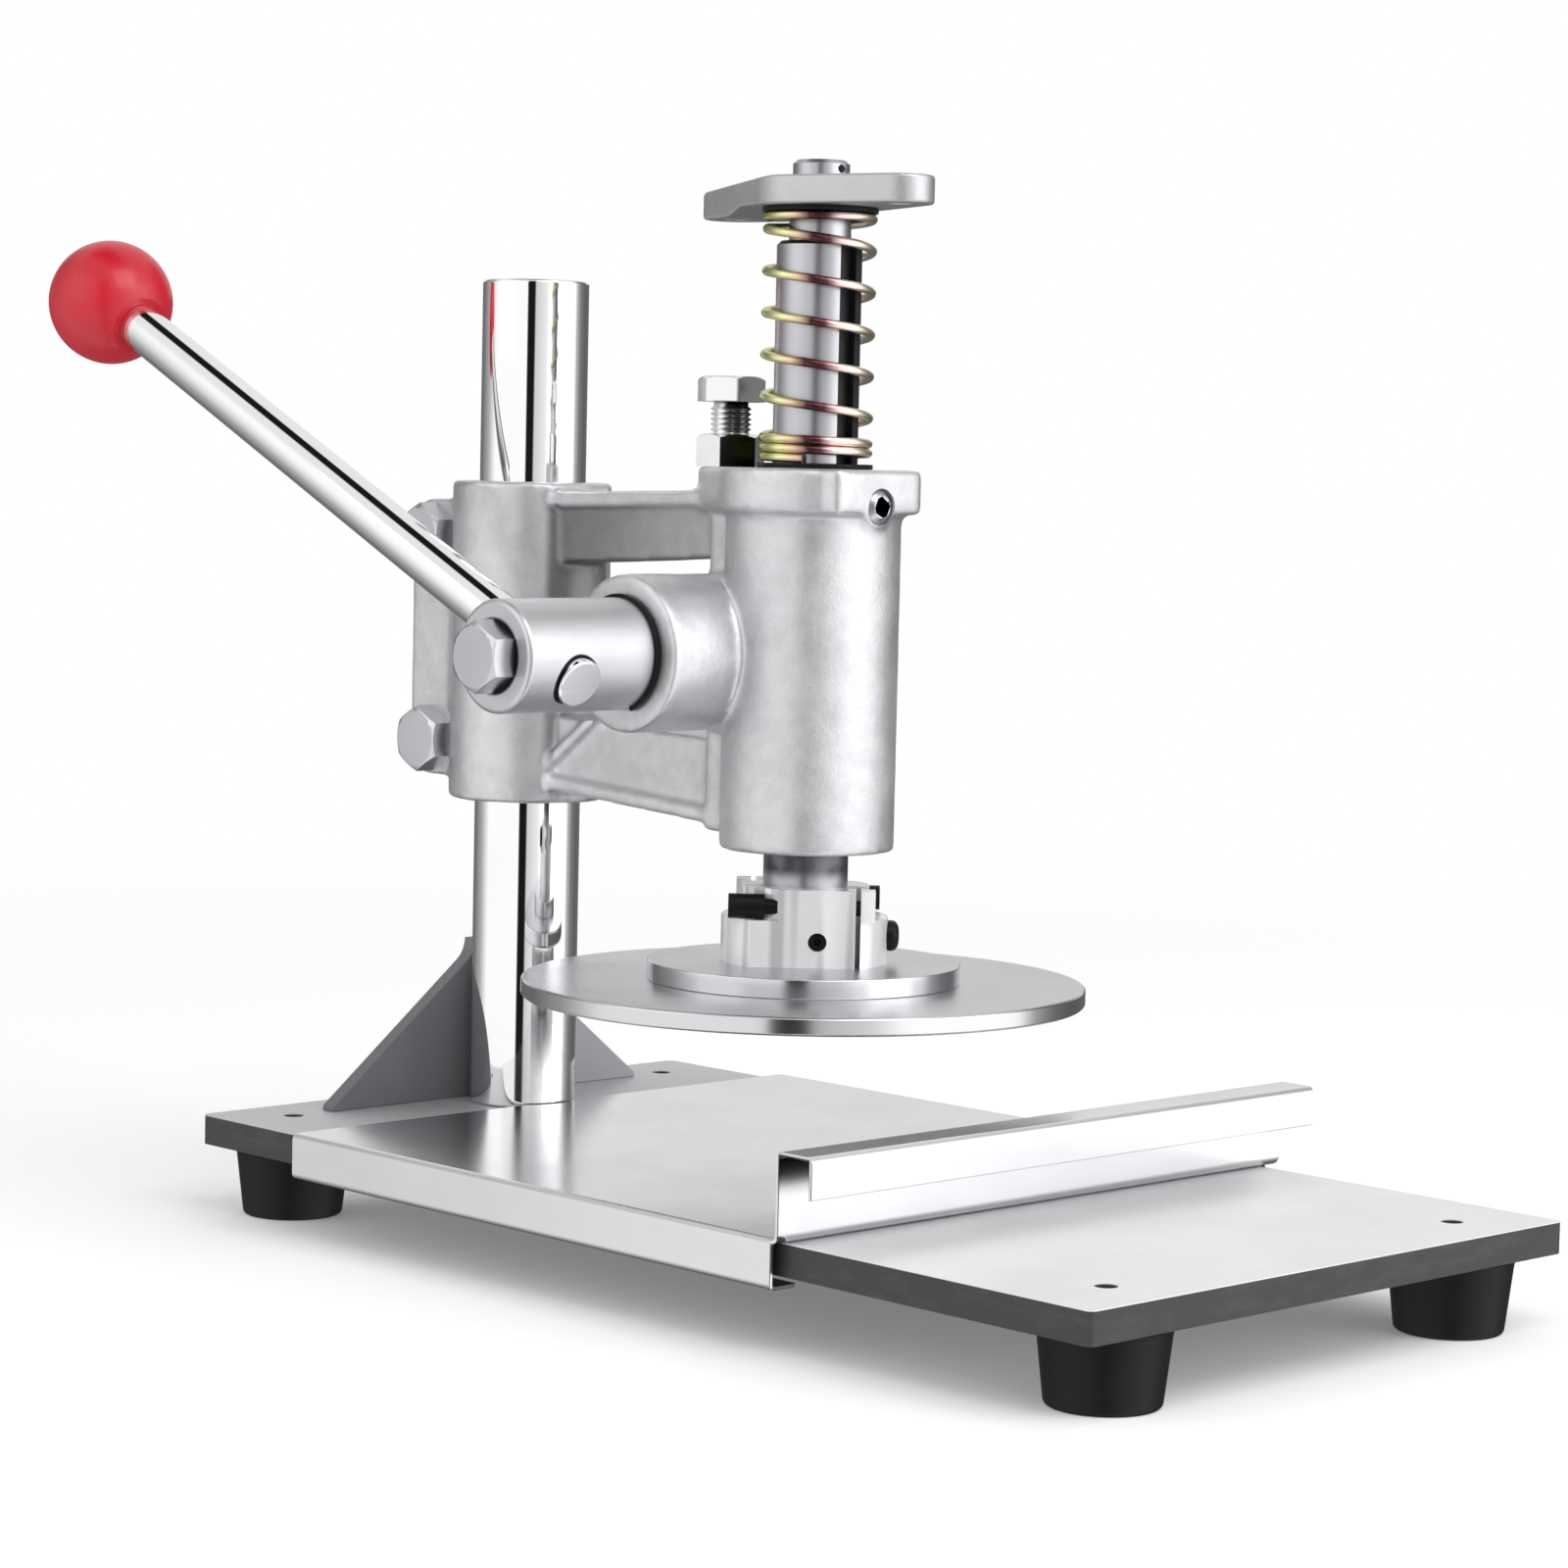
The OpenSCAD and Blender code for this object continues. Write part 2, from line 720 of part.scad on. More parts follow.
// Pan head screw whose tip runs in the ram's key slot
module guide_screw() {
    head_d = guide_head_d;
    head_h = guide_head_h;
    slot_w = 2;
    slot_l = 0.6 * head_d;
    shank_l = guide_seat_y - key_floor_y - 0.5;
    color("gainsboro")
    translate([0, -guide_seat_y, guide_z]) rotate([90, 0, 0]) difference() {
        union() {
            rotate_extrude()
                polygon([
                    [0, 0], [head_d / 2, 0], [head_d / 2, head_h / 2], [head_d / 2 - head_h / 2, head_h],
                    [0, head_h],
                ]);
            translate([0, 0, -shank_l]) cylinder(d = guide_screw_d, h = shank_l + eps);
        }
        for (a = [0, 90])
            rotate(a + 20) translate([-slot_l / 2, -slot_w / 2, head_h / 2]) cube([slot_l, slot_w, head_h]);
    }
}

module stop_bolt() {
    color("silver")
    translate([0, stop_reach, stop_seat]) rotate(1) hex_bolt(bolt_d, stop_bolt_l);
}

module stop_nut() {
    color("silver")
    translate([0, stop_reach, housing_top]) rotate(31) hex_nut(bolt_d);
}

module spring_seat(inner_d) {
    color("black")
    ring(spring_d + 0.6, inner_d + 2 * face_gap, seat_t);
}

module lower_spring_seat() {
    translate([0, 0, housing_top]) spring_seat(ram_d);
}

module upper_spring_seat() {
    translate([0, 0, spring_top]) spring_seat(shoulder_d);
}

// Height of the spring's wire after u turns: flat on its seat, one closed turn, then an even climb
function end_climb(u) = closed_rise * max(0, u - seat_turn) / (1 - seat_turn);
function coil_z(u) =
    u < 1 ? end_climb(u)
    : u > spring_turns - 1 ? spring_rise - end_climb(spring_turns - u)
    : closed_rise + (spring_rise - 2 * closed_rise) * (u - 1) / (spring_turns - 2);
ring_count = round(spring_turns * curl_rings);
function coil_u(i) = spring_turns * i / ring_count;
function coil_angle(i) = spring_start - 360 * coil_u(i);
function coil_point(i) =
    [spring_r * cos(coil_angle(i)), spring_r * sin(coil_angle(i)), coil_z(coil_u(i))];
function wire_ring(i) = [
    for (k = [0:wire_sides - 1])
        let (a = 360 * k / wire_sides, r = spring_r + wire_r * cos(a))
            [r * cos(coil_angle(i)), r * sin(coil_angle(i)), coil_z(coil_u(i)) + wire_r * sin(a)]
];
spring_least_gap = min([
    for (i = [0:ring_count])
        for (j = [i + curl_rings - 1:1:ring_count])
            norm(coil_point(i) - coil_point(j)) - wire_d
]);
echo(spring_least_gap_mm = spring_least_gap);

// One unbroken left hand coil with closed ends that sit flat on the two seats
module return_spring() {
    points = [for (i = [0:ring_count]) each wire_ring(i)];
    n = wire_sides;
    last = ring_count * n;
    sides = [for (i = [0:ring_count - 1]) for (k = [0:n - 1])
        let (a = i * n + k, b = i * n + (k + 1) % n) each [[a, b, a + n], [b, b + n, a + n]]];
    caps = [for (k = [1:n - 2]) each [[0, k + 1, k], [last, last + k, last + k + 1]]];
    color("khaki")
    translate([0, 0, spring_z + wire_flat]) polyhedron(points, concat(sides, caps));
}

// Outline that cuts the rack's gaps out of the ram's rear side, in y and z
module rack_cut() {
    gap_half = tooth_pitch / 4 + backlash / 4;
    tip_half = gap_half + gear_module * tan(pressure_angle);
    floor_half = gap_half - 1.25 * gear_module * tan(pressure_angle);
    clear_y = ram_d / 2 + 1;
    low_z = pinion_z - gaps_below * tooth_pitch - tip_half;
    high_z = pinion_z + gaps_above * tooth_pitch + tip_half;
    polygon(concat(
        [[clear_y, low_z]],
        [for (i = [-gaps_below:gaps_above]) let (z = pinion_z + i * tooth_pitch) each [
            [rack_tip_y, z - tip_half], [rack_floor_y, z - floor_half],
            [rack_floor_y, z + floor_half], [rack_tip_y, z + tip_half],
        ]],
        [[clear_y, high_z]]
    ));
}

// Round bar with a rack behind, a key slot in front and a pinned neck on top
module ram() {
    color("silver")
    difference() {
        rotate_extrude()
            polygon([
                [0, collar_z], [ram_d / 2, collar_z], [ram_d / 2, shoulder_z - shoulder_edge],
                [ram_d / 2 - shoulder_edge, shoulder_z], [shoulder_d / 2, shoulder_z],
                [shoulder_d / 2, cap_z], [neck_d / 2, cap_z], [neck_d / 2, neck_top - neck_edge],
                [neck_d / 2 - neck_edge, neck_top], [0, neck_top],
            ]);
        side_outline(ram_d + 2) rack_cut();
        translate([-key_w / 2, -ram_d, key_z]) cube([key_w, ram_d - key_floor_y, key_top - key_z]);
        translate([0, -neck_d, pin_z]) along_y() cylinder(d = pin_d + 2 * screw_gap, h = 2 * neck_d);
    }
}

// Flange with two lobes, cranked down at the rear to a flat striking face
module cap_flange() {
    front_y = -cap_front_reach - lobe_r - 1;
    rear_y = stop_reach + lobe_r + 1;
    seat_y = spring_d / 2 + 1;
    face_y = stop_reach - lobe_r - 1;
    color("silver")
    translate([0, 0, cap_z]) difference() {
        intersection() {
            translate([0, 0, -cap_drop]) linear_extrude(cap_t + cap_drop) {
                circle(cap_r);
                lobe(cap_r, lobe_r, stop_reach);
                mirror([0, 1]) lobe(cap_r, lobe_r, cap_front_reach);
            }
            side_outline(2 * cap_r + 2)
                polygon([
                    [front_y, 0], [seat_y, 0], [face_y, -cap_drop], [rear_y, -cap_drop],
                    [rear_y, cap_t - 1.25 * cap_drop], [0, cap_t], [front_y, cap_t],
                ]);
        }
        translate([0, 0, -1]) cylinder(d = neck_d + 2 * run_gap, h = cap_t + 2);
        for (y = [-cap_front_reach, stop_reach])
            translate([0, y, -cap_drop - 1]) cylinder(d = cap_hole_d, h = cap_t + cap_drop + 2);
    }
}

module cap_pin() {
    color("black")
    translate([0, -pin_l / 2, pin_z]) along_y() cylinder(d = pin_d, h = pin_l);
}

// Places children in the collar's own turned frame
module in_collar() {
    rotate(collar_turn) children();
}

// The collar's lugs and screws repeat after half a turn
module both_sides() {
    for (a = [0, 180])
        rotate(a) children();
}

// Split collar: a flatted block on the disc and a ring with two clamp screws
module clamp_collar() {
    lug_y = -ring_d / 2;
    lug_depth = ring_screw_head_d;
    head_room_y = ring_screw_y - ring_screw_head_d / 2 - 0.5;
    color("whitesmoke")
    in_collar() difference() {
        union() {
            intersection() {
                translate([0, 0, collar_z]) cylinder(d = block_d, h = block_h);
                translate([-block_d, -block_half_depth, collar_z])
                    cube([2 * block_d, 2 * block_half_depth, block_h]);
            }
            translate([0, 0, ring_z - eps]) cylinder(d = ring_d, h = ring_h + eps);
            both_sides() translate([-lug_start, lug_y, ring_z - eps])
                cube([lug_start + lug_end, lug_depth, ring_h + eps]);
        }
        translate([0, 0, collar_z - 1]) cylinder(d = ram_d + 2 * run_gap, h = collar_top - collar_z + 2);
        both_sides() {
            translate([-block_d, -block_d, ring_z])
                cube([block_d - ring_cut_x, block_d - head_room_y, ring_h + 1]);
            translate([-block_d, -ring_screw_y, ring_screw_z]) along_x()
                cylinder(d = collar_screw_d + 2 * screw_gap, h = 2 * block_d);
            translate([collar_slit[0], -block_d, collar_z - 1])
                cube([collar_slit[1] - collar_slit[0], block_d - ram_d / 4, collar_top - collar_z + 2]);
        }
        translate([set_screw_x, -block_d, set_screw_z]) along_y()
            cylinder(d = set_screw_d + 2 * screw_gap, h = block_d);
        translate([0, 0, side_screw_z]) along_x()
            cylinder(d = side_screw_d + 2 * screw_gap, h = block_d);
        translate([block_d / 2 - 1, 0, side_screw_z]) along_x()
            cylinder(d = side_screw_head_d + 2 * face_gap, h = block_d);
        for (a = [45:90:315])
            rotate(a) translate([plate_screw_pcd / 2, 0, collar_z - 1])
                cylinder(d = plate_screw_d + 2 * screw_gap, h = plate_screw_depth + 2);
    }
}

module collar_screws() {
    color("black")
    in_collar() both_sides()
        translate([-ring_cut_x, -ring_screw_y, ring_screw_z]) rotate([0, -90, 0])
            socket_screw(collar_screw_d, ring_screw_head_d, ring_screw_head_l, ring_screw_l);
}

// Grub screw that bites on the ram
module collar_set_screw() {
    start_y = block_half_depth - set_screw_sink;
    tip_y = sqrt(pow(ram_d / 2, 2) - pow(set_screw_x - set_screw_d / 2, 2)) + face_gap;
    color("black")
    in_collar() translate([set_screw_x, -start_y, set_screw_z]) along_y() difference() {
        cylinder(d = set_screw_d, h = start_y - tip_y);
        translate([0, 0, -1]) cylinder(d = set_screw_d / 2, h = 4, $fn = 6);
    }
}

// Round headed screw in the block's right side that also bears on the ram
module collar_side_screw() {
    head_r = side_screw_head_d / 2;
    dome = 0.45 * side_screw_d;
    seat_x = block_d / 2 - 1;
    shank_l = seat_x - ram_d / 2 - 2 * face_gap;
    color("black")
    in_collar() translate([seat_x, 0, side_screw_z]) along_x() difference() {
        union() {
            rotate_extrude()
                polygon(concat(
                    [[0, 0], [head_r, 0]],
                    [for (a = [0:15:90]) [0.35 * head_r + 0.65 * head_r * cos(a), dome + dome * sin(a)]],
                    [[0, 2 * dome]]
                ));
            translate([0, 0, -shank_l]) cylinder(d = side_screw_d, h = shank_l + eps);
        }
        translate([0, 0, dome]) cylinder(d = 0.6 * side_screw_d, h = 2 * dome, $fn = 6);
    }
}

module backing_disc() {
    color("silver")
    difference() {
        translate([0, 0, disc_z]) cylinder(d = disc_d, h = disc_t);
        plate_screw_holes();
    }
}

module press_plate() {
    edge = 0.8;
    r = plate_d / 2;
    color("silver")
    difference() {
        translate([0, 0, plate_z]) rotate_extrude()
            polygon([
                [0, 0], [r - edge, 0], [r, edge], [r, plate_t - edge], [r - edge, plate_t], [0, plate_t],
            ]);
        plate_screw_holes();
    }
}

module at_plate_screws() {
    in_collar() for (a = [45:90:315])
        rotate(a) translate([plate_screw_pcd / 2, 0, plate_z]) children();
}

module plate_screw_holes() {
    at_plate_screws() countersunk(plate_screw_d, plate_screw_head_d, plate_t + disc_t + 1, screw_gap);
}

module plate_screws() {
    color("gainsboro")
    at_plate_screws()
        countersunk(plate_screw_d, plate_screw_head_d, plate_t + disc_t + plate_screw_depth);
}

// Points on one flank of a pinion tooth, from the base circle out to the tip
function involute(t) = base_r * [cos(t) + t * PI / 180 * sin(t), sin(t) - t * PI / 180 * cos(t)];
function roll_at(r) = sqrt(pow(r / base_r, 2) - 1) * 180 / PI;
function turned(p, a) = [p[0] * cos(a) - p[1] * sin(a), p[0] * sin(a) + p[1] * cos(a)];

// Pinion outline with one tooth pointing along +x
module pinion_outline() {
    steps = 4;
    half_tooth = (tooth_pitch / 2 - backlash / 2) / 2 / pitch_r * 180 / PI;
    pitch_point = involute(roll_at(pitch_r));
    lead = half_tooth + atan2(pitch_point[1], pitch_point[0]);
    flank = [for (i = [0:steps]) turned(involute(roll_at(tip_r) * i / steps), -lead)];
    foot = [turned([root_r, 0], -lead)];
    lower = concat(foot, flank);
    upper = [for (i = [len(lower) - 1:-1:0]) [lower[i][0], -lower[i][1]]];
    tooth = concat(lower, upper);
    polygon([for (k = [0:pinion_teeth - 1]) for (p = tooth) turned(p, 360 * k / pinion_teeth)]);
}

module at_pinion() {
    translate([0, pinion_y, pinion_z]) children();
}

// Points children drawn along +z along the lever
module along_lever() {
    at_pinion() translate([-lever_x, 0, 0]) rotate([lever_angle - 90, 0, 0]) children();
}

// Lever hub, journals and toothed part turned from one bar
module pinion_shaft() {
    clip_x = boss_reach + face_gap + clip_t;
    color("lightgray")
    difference() {
        union() {
            at_pinion() translate([-hub_x, 0, 0]) along_x() cylinder(r = shaft_r, h = hub_x - gear_half_w);
            at_pinion() rotate([90, 0, 90]) translate([0, 0, -gear_half_w - eps])
                linear_extrude(gear_w + 2 * eps) rotate(180) pinion_outline();
            at_pinion() translate([gear_half_w, 0, 0]) along_x()
                cylinder(r = tail_r, h = far_reach + face_gap - gear_half_w);
        }
        at_pinion() translate([-clip_x, 0, 0]) along_x()
            ring(shaft_d + 2, shaft_d - 2 * clip_depth, clip_t);
        along_lever() cylinder(d = rod_d + 2 * screw_gap, h = 2 * shaft_d, center = true);
        at_pinion() translate([-hub_x - 1, 0, 0]) along_x()
            cylinder(d = bolt_d + 2 * screw_gap, h = hub_end + 1);
        at_pinion() translate([far_reach - end_screw_l, 0, 0]) along_x()
            cylinder(d = end_screw_d + 2 * screw_gap, h = end_screw_l + 1);
    }
}

// Open ring in the shaft's groove that bears on the boss
module pinion_clip() {
    clip_x = boss_reach + face_gap + clip_t;
    color("black")
    at_pinion() translate([-clip_x, 0, 0]) along_x() difference() {
        ring(shaft_d + 2 * clip_rise, shaft_d - 2 * clip_depth + 2 * screw_gap, clip_t);
        linear_extrude(3 * clip_t, center = true)
            polygon([
                [0, 0], shaft_d * [cos(clip_gap_angle / 2), sin(clip_gap_angle / 2)],
                shaft_d * [cos(clip_gap_angle / 2), -sin(clip_gap_angle / 2)],
            ]);
    }
}

module pinion_end_washer() {
    color("gainsboro")
    at_pinion() translate([far_reach + face_gap, 0, 0]) along_x()
        ring(2 * tail_r + 8, end_screw_d + 2 * screw_gap, end_washer_t);
}

module pinion_end_screw() {
    color("silver")
    at_pinion() translate([far_reach + face_gap + end_washer_t, 0, 0]) along_x()
        hex_bolt(end_screw_d, end_screw_l);
}

// Bolt in the hub's end that grips the lever rod
module lever_lock_bolt() {
    color("silver")
    at_pinion() translate([-hub_x, 0, 0]) rotate([0, -90, 0])
        hex_bolt(bolt_d, hub_end - rod_d / 2 - screw_gap);
}

module lever_rod() {
    foot_l = shaft_r + rod_proud;
    color("whitesmoke")
    along_lever() {
        translate([0, 0, -foot_l]) cylinder(d = rod_d, h = foot_l + lever_l - knob_neck);
        translate([0, 0, lever_l - knob_neck - eps]) cylinder(d = stud_d, h = stud_l + eps);
    }
}

module knob_insert() {
    color("goldenrod")
    along_lever() translate([0, 0, lever_l - knob_neck])
        ring(stud_d + 2 * insert_wall, stud_d + 2 * screw_gap, insert_l);
}

module ball_knob() {
    color("crimson")
    along_lever() translate([0, 0, lever_l]) difference() {
        sphere(d = ball_d);
        translate([0, 0, -knob_neck - ball_d]) cylinder(d = 2 * ball_d, h = ball_d);
        translate([0, 0, -knob_neck - 1])
            cylinder(d = stud_d + 2 * insert_wall + 2 * run_gap, h = insert_l + 2);
    }
}

// Folded sheet: deck, two sides hooked under the base plate, front wall and grip
module slide_tray() {
    length = deck_rear + wall_reach;
    fold_l = length - fold_gap;
    fold_y = fold_gap - wall_reach;
    inner_w = tray_half_w - sheet_t;
    hook_z = foot_h - hook_gap - sheet_t;
    color("gainsboro")
    difference() {
        union() {
            translate([-tray_half_w, -wall_reach, tray_z]) cube([2 * tray_half_w, length, sheet_t]);
            for (s = [0, 1]) mirror([s, 0, 0]) {
                translate([inner_w, fold_y, hook_z]) cube([sheet_t, fold_l, tray_top - hook_z]);
                translate([inner_w - hook_w, fold_y, hook_z]) cube([hook_w + sheet_t, fold_l, sheet_t]);
            }
            translate([-wall_half_w, -wall_reach, tray_z])
                cube([2 * wall_half_w, sheet_t, wall_top - tray_z]);
            translate([-wall_half_w, -wall_reach - grip_depth, wall_top - sheet_t])
                cube([2 * wall_half_w, grip_depth + sheet_t, sheet_t]);
            translate([-wall_half_w, -wall_reach - grip_depth, wall_top - lip_h])
                cube([2 * wall_half_w, sheet_t, lip_h]);
        }
        translate([0, column_reach, tray_z - 1])
            cylinder(d = column_d + 2 * tray_rest_gap, h = sheet_t + 2);
    }
}

centred() base_plate();
centred() front_left_foot();
centred() front_right_foot();
centred() rear_left_foot();
centred() rear_right_foot();
centred() foot_washers();
centred() foot_screws();
centred() column();
centred() column_screw();
centred() rear_brace();
centred() head_casting();
centred() clamp_bolts();
centred() clamp_washers();
centred() clamp_nuts();
centred() guide_screw();
centred() stop_bolt();
centred() stop_nut();
centred() lower_spring_seat();
centred() upper_spring_seat();
centred() return_spring();
centred() ram();
centred() cap_flange();
centred() cap_pin();
centred() clamp_collar();
centred() collar_screws();
centred() collar_set_screw();
centred() collar_side_screw();
centred() backing_disc();
centred() press_plate();
centred() plate_screws();
centred() pinion_shaft();
centred() pinion_clip();
centred() pinion_end_washer();
centred() pinion_end_screw();
centred() lever_lock_bolt();
centred() lever_rod();
centred() knob_insert();
centred() ball_knob();
centred() slide_tray();
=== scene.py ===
"""Dresses the hand lever dough press: finished meshes, procedural finishes, soft light and a camera."""
from __future__ import annotations

import json
import logging
import math
from dataclasses import dataclass, field
from enum import Enum
from typing import Any, Callable, Dict, Iterable, List, Mapping, Optional, Sequence, Tuple, Union

import bmesh
import bpy
from mathutils import Matrix, Vector, noise

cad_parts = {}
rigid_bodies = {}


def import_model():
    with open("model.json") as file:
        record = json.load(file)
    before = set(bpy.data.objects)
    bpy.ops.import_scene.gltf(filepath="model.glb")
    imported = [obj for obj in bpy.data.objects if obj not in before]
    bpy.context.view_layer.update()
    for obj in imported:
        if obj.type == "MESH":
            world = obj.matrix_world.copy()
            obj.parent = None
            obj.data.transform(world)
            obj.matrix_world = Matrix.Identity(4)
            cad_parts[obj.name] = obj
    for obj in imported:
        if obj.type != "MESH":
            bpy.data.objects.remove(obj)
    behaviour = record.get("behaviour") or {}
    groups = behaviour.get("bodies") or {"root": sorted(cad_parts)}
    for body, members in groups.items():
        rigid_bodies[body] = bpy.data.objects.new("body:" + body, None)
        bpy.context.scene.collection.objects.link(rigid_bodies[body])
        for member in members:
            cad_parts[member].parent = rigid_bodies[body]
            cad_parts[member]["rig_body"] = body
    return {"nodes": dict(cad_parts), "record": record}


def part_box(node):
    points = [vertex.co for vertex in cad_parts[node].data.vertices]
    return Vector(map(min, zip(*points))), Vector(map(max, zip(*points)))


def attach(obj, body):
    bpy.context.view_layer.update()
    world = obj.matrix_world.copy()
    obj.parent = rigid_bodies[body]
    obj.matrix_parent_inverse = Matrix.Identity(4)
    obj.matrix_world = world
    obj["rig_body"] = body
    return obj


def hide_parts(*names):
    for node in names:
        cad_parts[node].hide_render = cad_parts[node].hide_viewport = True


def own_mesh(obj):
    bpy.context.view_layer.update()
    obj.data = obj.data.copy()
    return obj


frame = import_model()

LOG = logging.getLogger("dough_press")
MM = 0.001
UP = Vector((0.0, 0.0, 1.0))
Pair = Tuple[float, float]
Triple = Tuple[float, float, float]
Colour = Tuple[float, float, float, float]
Operand = Union["Value", float, Sequence[float]]
Inputs = Dict[str, Operand]
Mesh = bmesh.types.BMesh
Bar = Tuple[Vector, Vector, float]
BLACK: Colour = (0.0, 0.0, 0.0, 1.0)
WHITE: Colour = (1.0, 1.0, 1.0, 1.0)


def span(node: str) -> Tuple[Vector, Vector, Vector]:
    """Give a CAD node's box.

    Args:
        node: Name of the CAD node.

    Returns:
        Its lowest corner, its highest corner and its middle, in metres.
    """
    low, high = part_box(node)
    return low, high, (low + high) / 2


def ram_axis() -> Vector:
    """Give the point on the bench under the ram's axis."""
    middle = span("ram")[2]
    return Vector((middle.x, middle.y, 0.0))


def at(x: float, y: float, z: float) -> Vector:
    """Place a point.

    Args:
        x: Millimetres from the ram's axis to the right.
        y: Millimetres from the ram's axis to the rear.
        z: Millimetres above the bench.

    Returns:
        The point in the frame, in metres.
    """
    return ram_axis() + Vector((x, y, z)) * MM


def operation(name: str, swapped: bool = False) -> Callable[["Value", Operand], "Value"]:
    """Make the method that adds one Math node.

    Args:
        name: The node's operation.
        swapped: Whether the other operand comes first.

    Returns:
        The method.
    """
    def method(self: "Value", other: Operand) -> "Value":
        """Add the node."""
        return self.math(name, other, self) if swapped else self.math(name, self, other)
    return method


class Value:
    """A socket whose arithmetic adds Math nodes to its node tree."""

    def __init__(self, graph: "Graph", socket: bpy.types.NodeSocket) -> None:
        """Wrap one output socket of a graph."""
        self.graph = graph
        self.socket = socket

    def math(self, name: str, *operands: Operand) -> "Value":
        """Add one Math node on the given operands."""
        return self.graph.node("ShaderNodeMath", {"operation": name}, dict(enumerate(operands)))

    __add__ = __radd__ = operation("ADD")
    __sub__ = operation("SUBTRACT")
    __rsub__ = operation("SUBTRACT", swapped=True)
    __mul__ = __rmul__ = operation("MULTIPLY")
    __truediv__ = operation("DIVIDE")
    angle = operation("ARCTAN2")

    def size(self) -> "Value":
        """Take the absolute value."""
        return self.math("ABSOLUTE", self)

    def reach(self, other: "Value") -> "Value":
        """Give the length of a direction from its two parts."""
        return self.math("SQRT", self * self + other * other)

    def ease(self, low: float, high: float) -> "Value":
        """Turn the range from low to high into a smooth step from 0 to 1."""
        settings = {"interpolation_type": "SMOOTHSTEP"}
        return self.graph.node("ShaderNodeMapRange", settings, {0: self, 1: low, 2: high, 3: 0.0, 4: 1.0})

    def above(self, level: float, blur: float) -> "Value":
        """Step from 0 to 1 at a level, with a blur to both sides."""
        return self.ease(level - blur, level + blur)

    def below(self, level: float, blur: float) -> "Value":
        """Step from 1 to 0 at a level, with a blur to both sides."""
        return 1.0 - self.above(level, blur)


def blend(first: Operand, second: Operand, factor: Value) -> Value:
    """Go from one value to another while a factor goes from 0 to 1."""
    return first + (second - first) * factor


def toned(colour: Colour, share: float) -> Colour:
    """Make a colour darker or lighter by a share."""
    return tuple(share * part for part in colour[:3]) + (1.0,)


class Graph:
    """The node tree of one material or of the world."""

    def __init__(self, tree: bpy.types.NodeTree) -> None:
        """Start from an empty tree."""
        self.tree = tree
        tree.nodes.clear()

    def node(
        self,
        kind: str,
        settings: Optional[Mapping[str, Any]] = None,
        inputs: Optional[Mapping[Union[int, str], Operand]] = None,
        output: Union[int, str] = 0,
    ) -> Value:
        """Add a node.

        Args:
            kind: The node's type.
            settings: Properties of the node, set first; "stops" fills a ramp.
            inputs: Values or links of its sockets.
            output: The output socket to return.

        Returns:
            The chosen output.
        """
        made = self.tree.nodes.new(kind)
        for name, setting in (settings or {}).items():
            if name == "stops":
                self._fill_ramp(made.color_ramp, setting)
            else:
                setattr(made, name, setting)
        for key, value in (inputs or {}).items():
            if isinstance(value, Value):
                self.tree.links.new(value.socket, made.inputs[key])
            else:
                made.inputs[key].default_value = value
        return Value(self, made.outputs[output])

    @staticmethod
    def _fill_ramp(ramp: bpy.types.ColorRamp, stops: Sequence[Tuple[float, Colour]]) -> None:
        """Give a colour ramp its stops.

        Args:
            ramp: The ramp to fill.
            stops: Place, from 0 to 1, and colour of each stop.
        """
        while len(ramp.elements) < len(stops):
            ramp.elements.new(1.0)
        for element, (place, colour) in zip(ramp.elements, stops):
            element.position = place
            element.color = colour

    def close(self, kind: str, shader: Value) -> None:
        """Join a shader to an output node."""
        end = self.tree.nodes.new(kind)
        self.tree.links.new(shader.socket, end.inputs["Surface"])

    def point(self) -> Value:
        """Give the place on the piece, in metres."""
        return self.node("ShaderNodeTexCoord", output="Object")

    def moved(self, name: str, operand: Sequence[float]) -> Value:
        """Give the place on the piece after one Vector Math operation."""
        return self.node("ShaderNodeVectorMath", {"operation": name}, {0: self.point(), 1: tuple(operand)})

    def place(self, centre: Vector) -> Value:
        """Give the place on the piece as measured from a centre."""
        return self.moved("SUBTRACT", centre)

    def part(self, vector: Value, axis: str) -> Value:
        """Give one part, X, Y or Z, of a vector."""
        return self.node("ShaderNodeSeparateXYZ", None, {0: vector}, axis)

    def parts(self, vector: Value) -> Tuple[Value, ...]:
        """Split a vector into its three parts."""
        return tuple(self.part(vector, axis) for axis in "XYZ")

    def noise(self, vector: Value, scale: float, detail: float = 2.0, rough: float = 0.5) -> Value:
        """Add a noise.

        Args:
            vector: Where to read it.
            scale: Lumps in a metre.
            detail: Octaves of finer lumps.
            rough: Strength of the finer lumps.

        Returns:
            A value that varies round 0.5.
        """
        return self.node("ShaderNodeTexNoise", None, {
            "Vector": vector, "Scale": scale, "Detail": detail, "Roughness": rough,
        })

    def streaks(self, lumps: Triple, detail: float = 0.0, rough: float = 0.5) -> Value:
        """Add a noise over the piece whose lumps in a metre differ along X, Y and Z."""
        return self.noise(self.moved("MULTIPLY", lumps), 1.0, detail, rough)

    def mix(self, first: Operand, second: Operand, factor: Operand) -> Value:
        """Mix two colours."""
        return self.node("ShaderNodeMix", {"data_type": "RGBA"}, {0: factor, 6: first, 7: second}, 2)

    def ramp(self, factor: Value, stops: Sequence[Tuple[float, Colour]]) -> Value:
        """Turn a value into a colour."""
        return self.node("ShaderNodeValToRGB", {"stops": stops}, {0: factor})

    def bump(self, height: Value, depth: float, strength: float = 1.0) -> Value:
        """Turn a height of 0 to 1, which stands for a depth in metres, into a normal."""
        return self.node("ShaderNodeBump", None, {"Height": height, "Distance": depth, "Strength": strength})


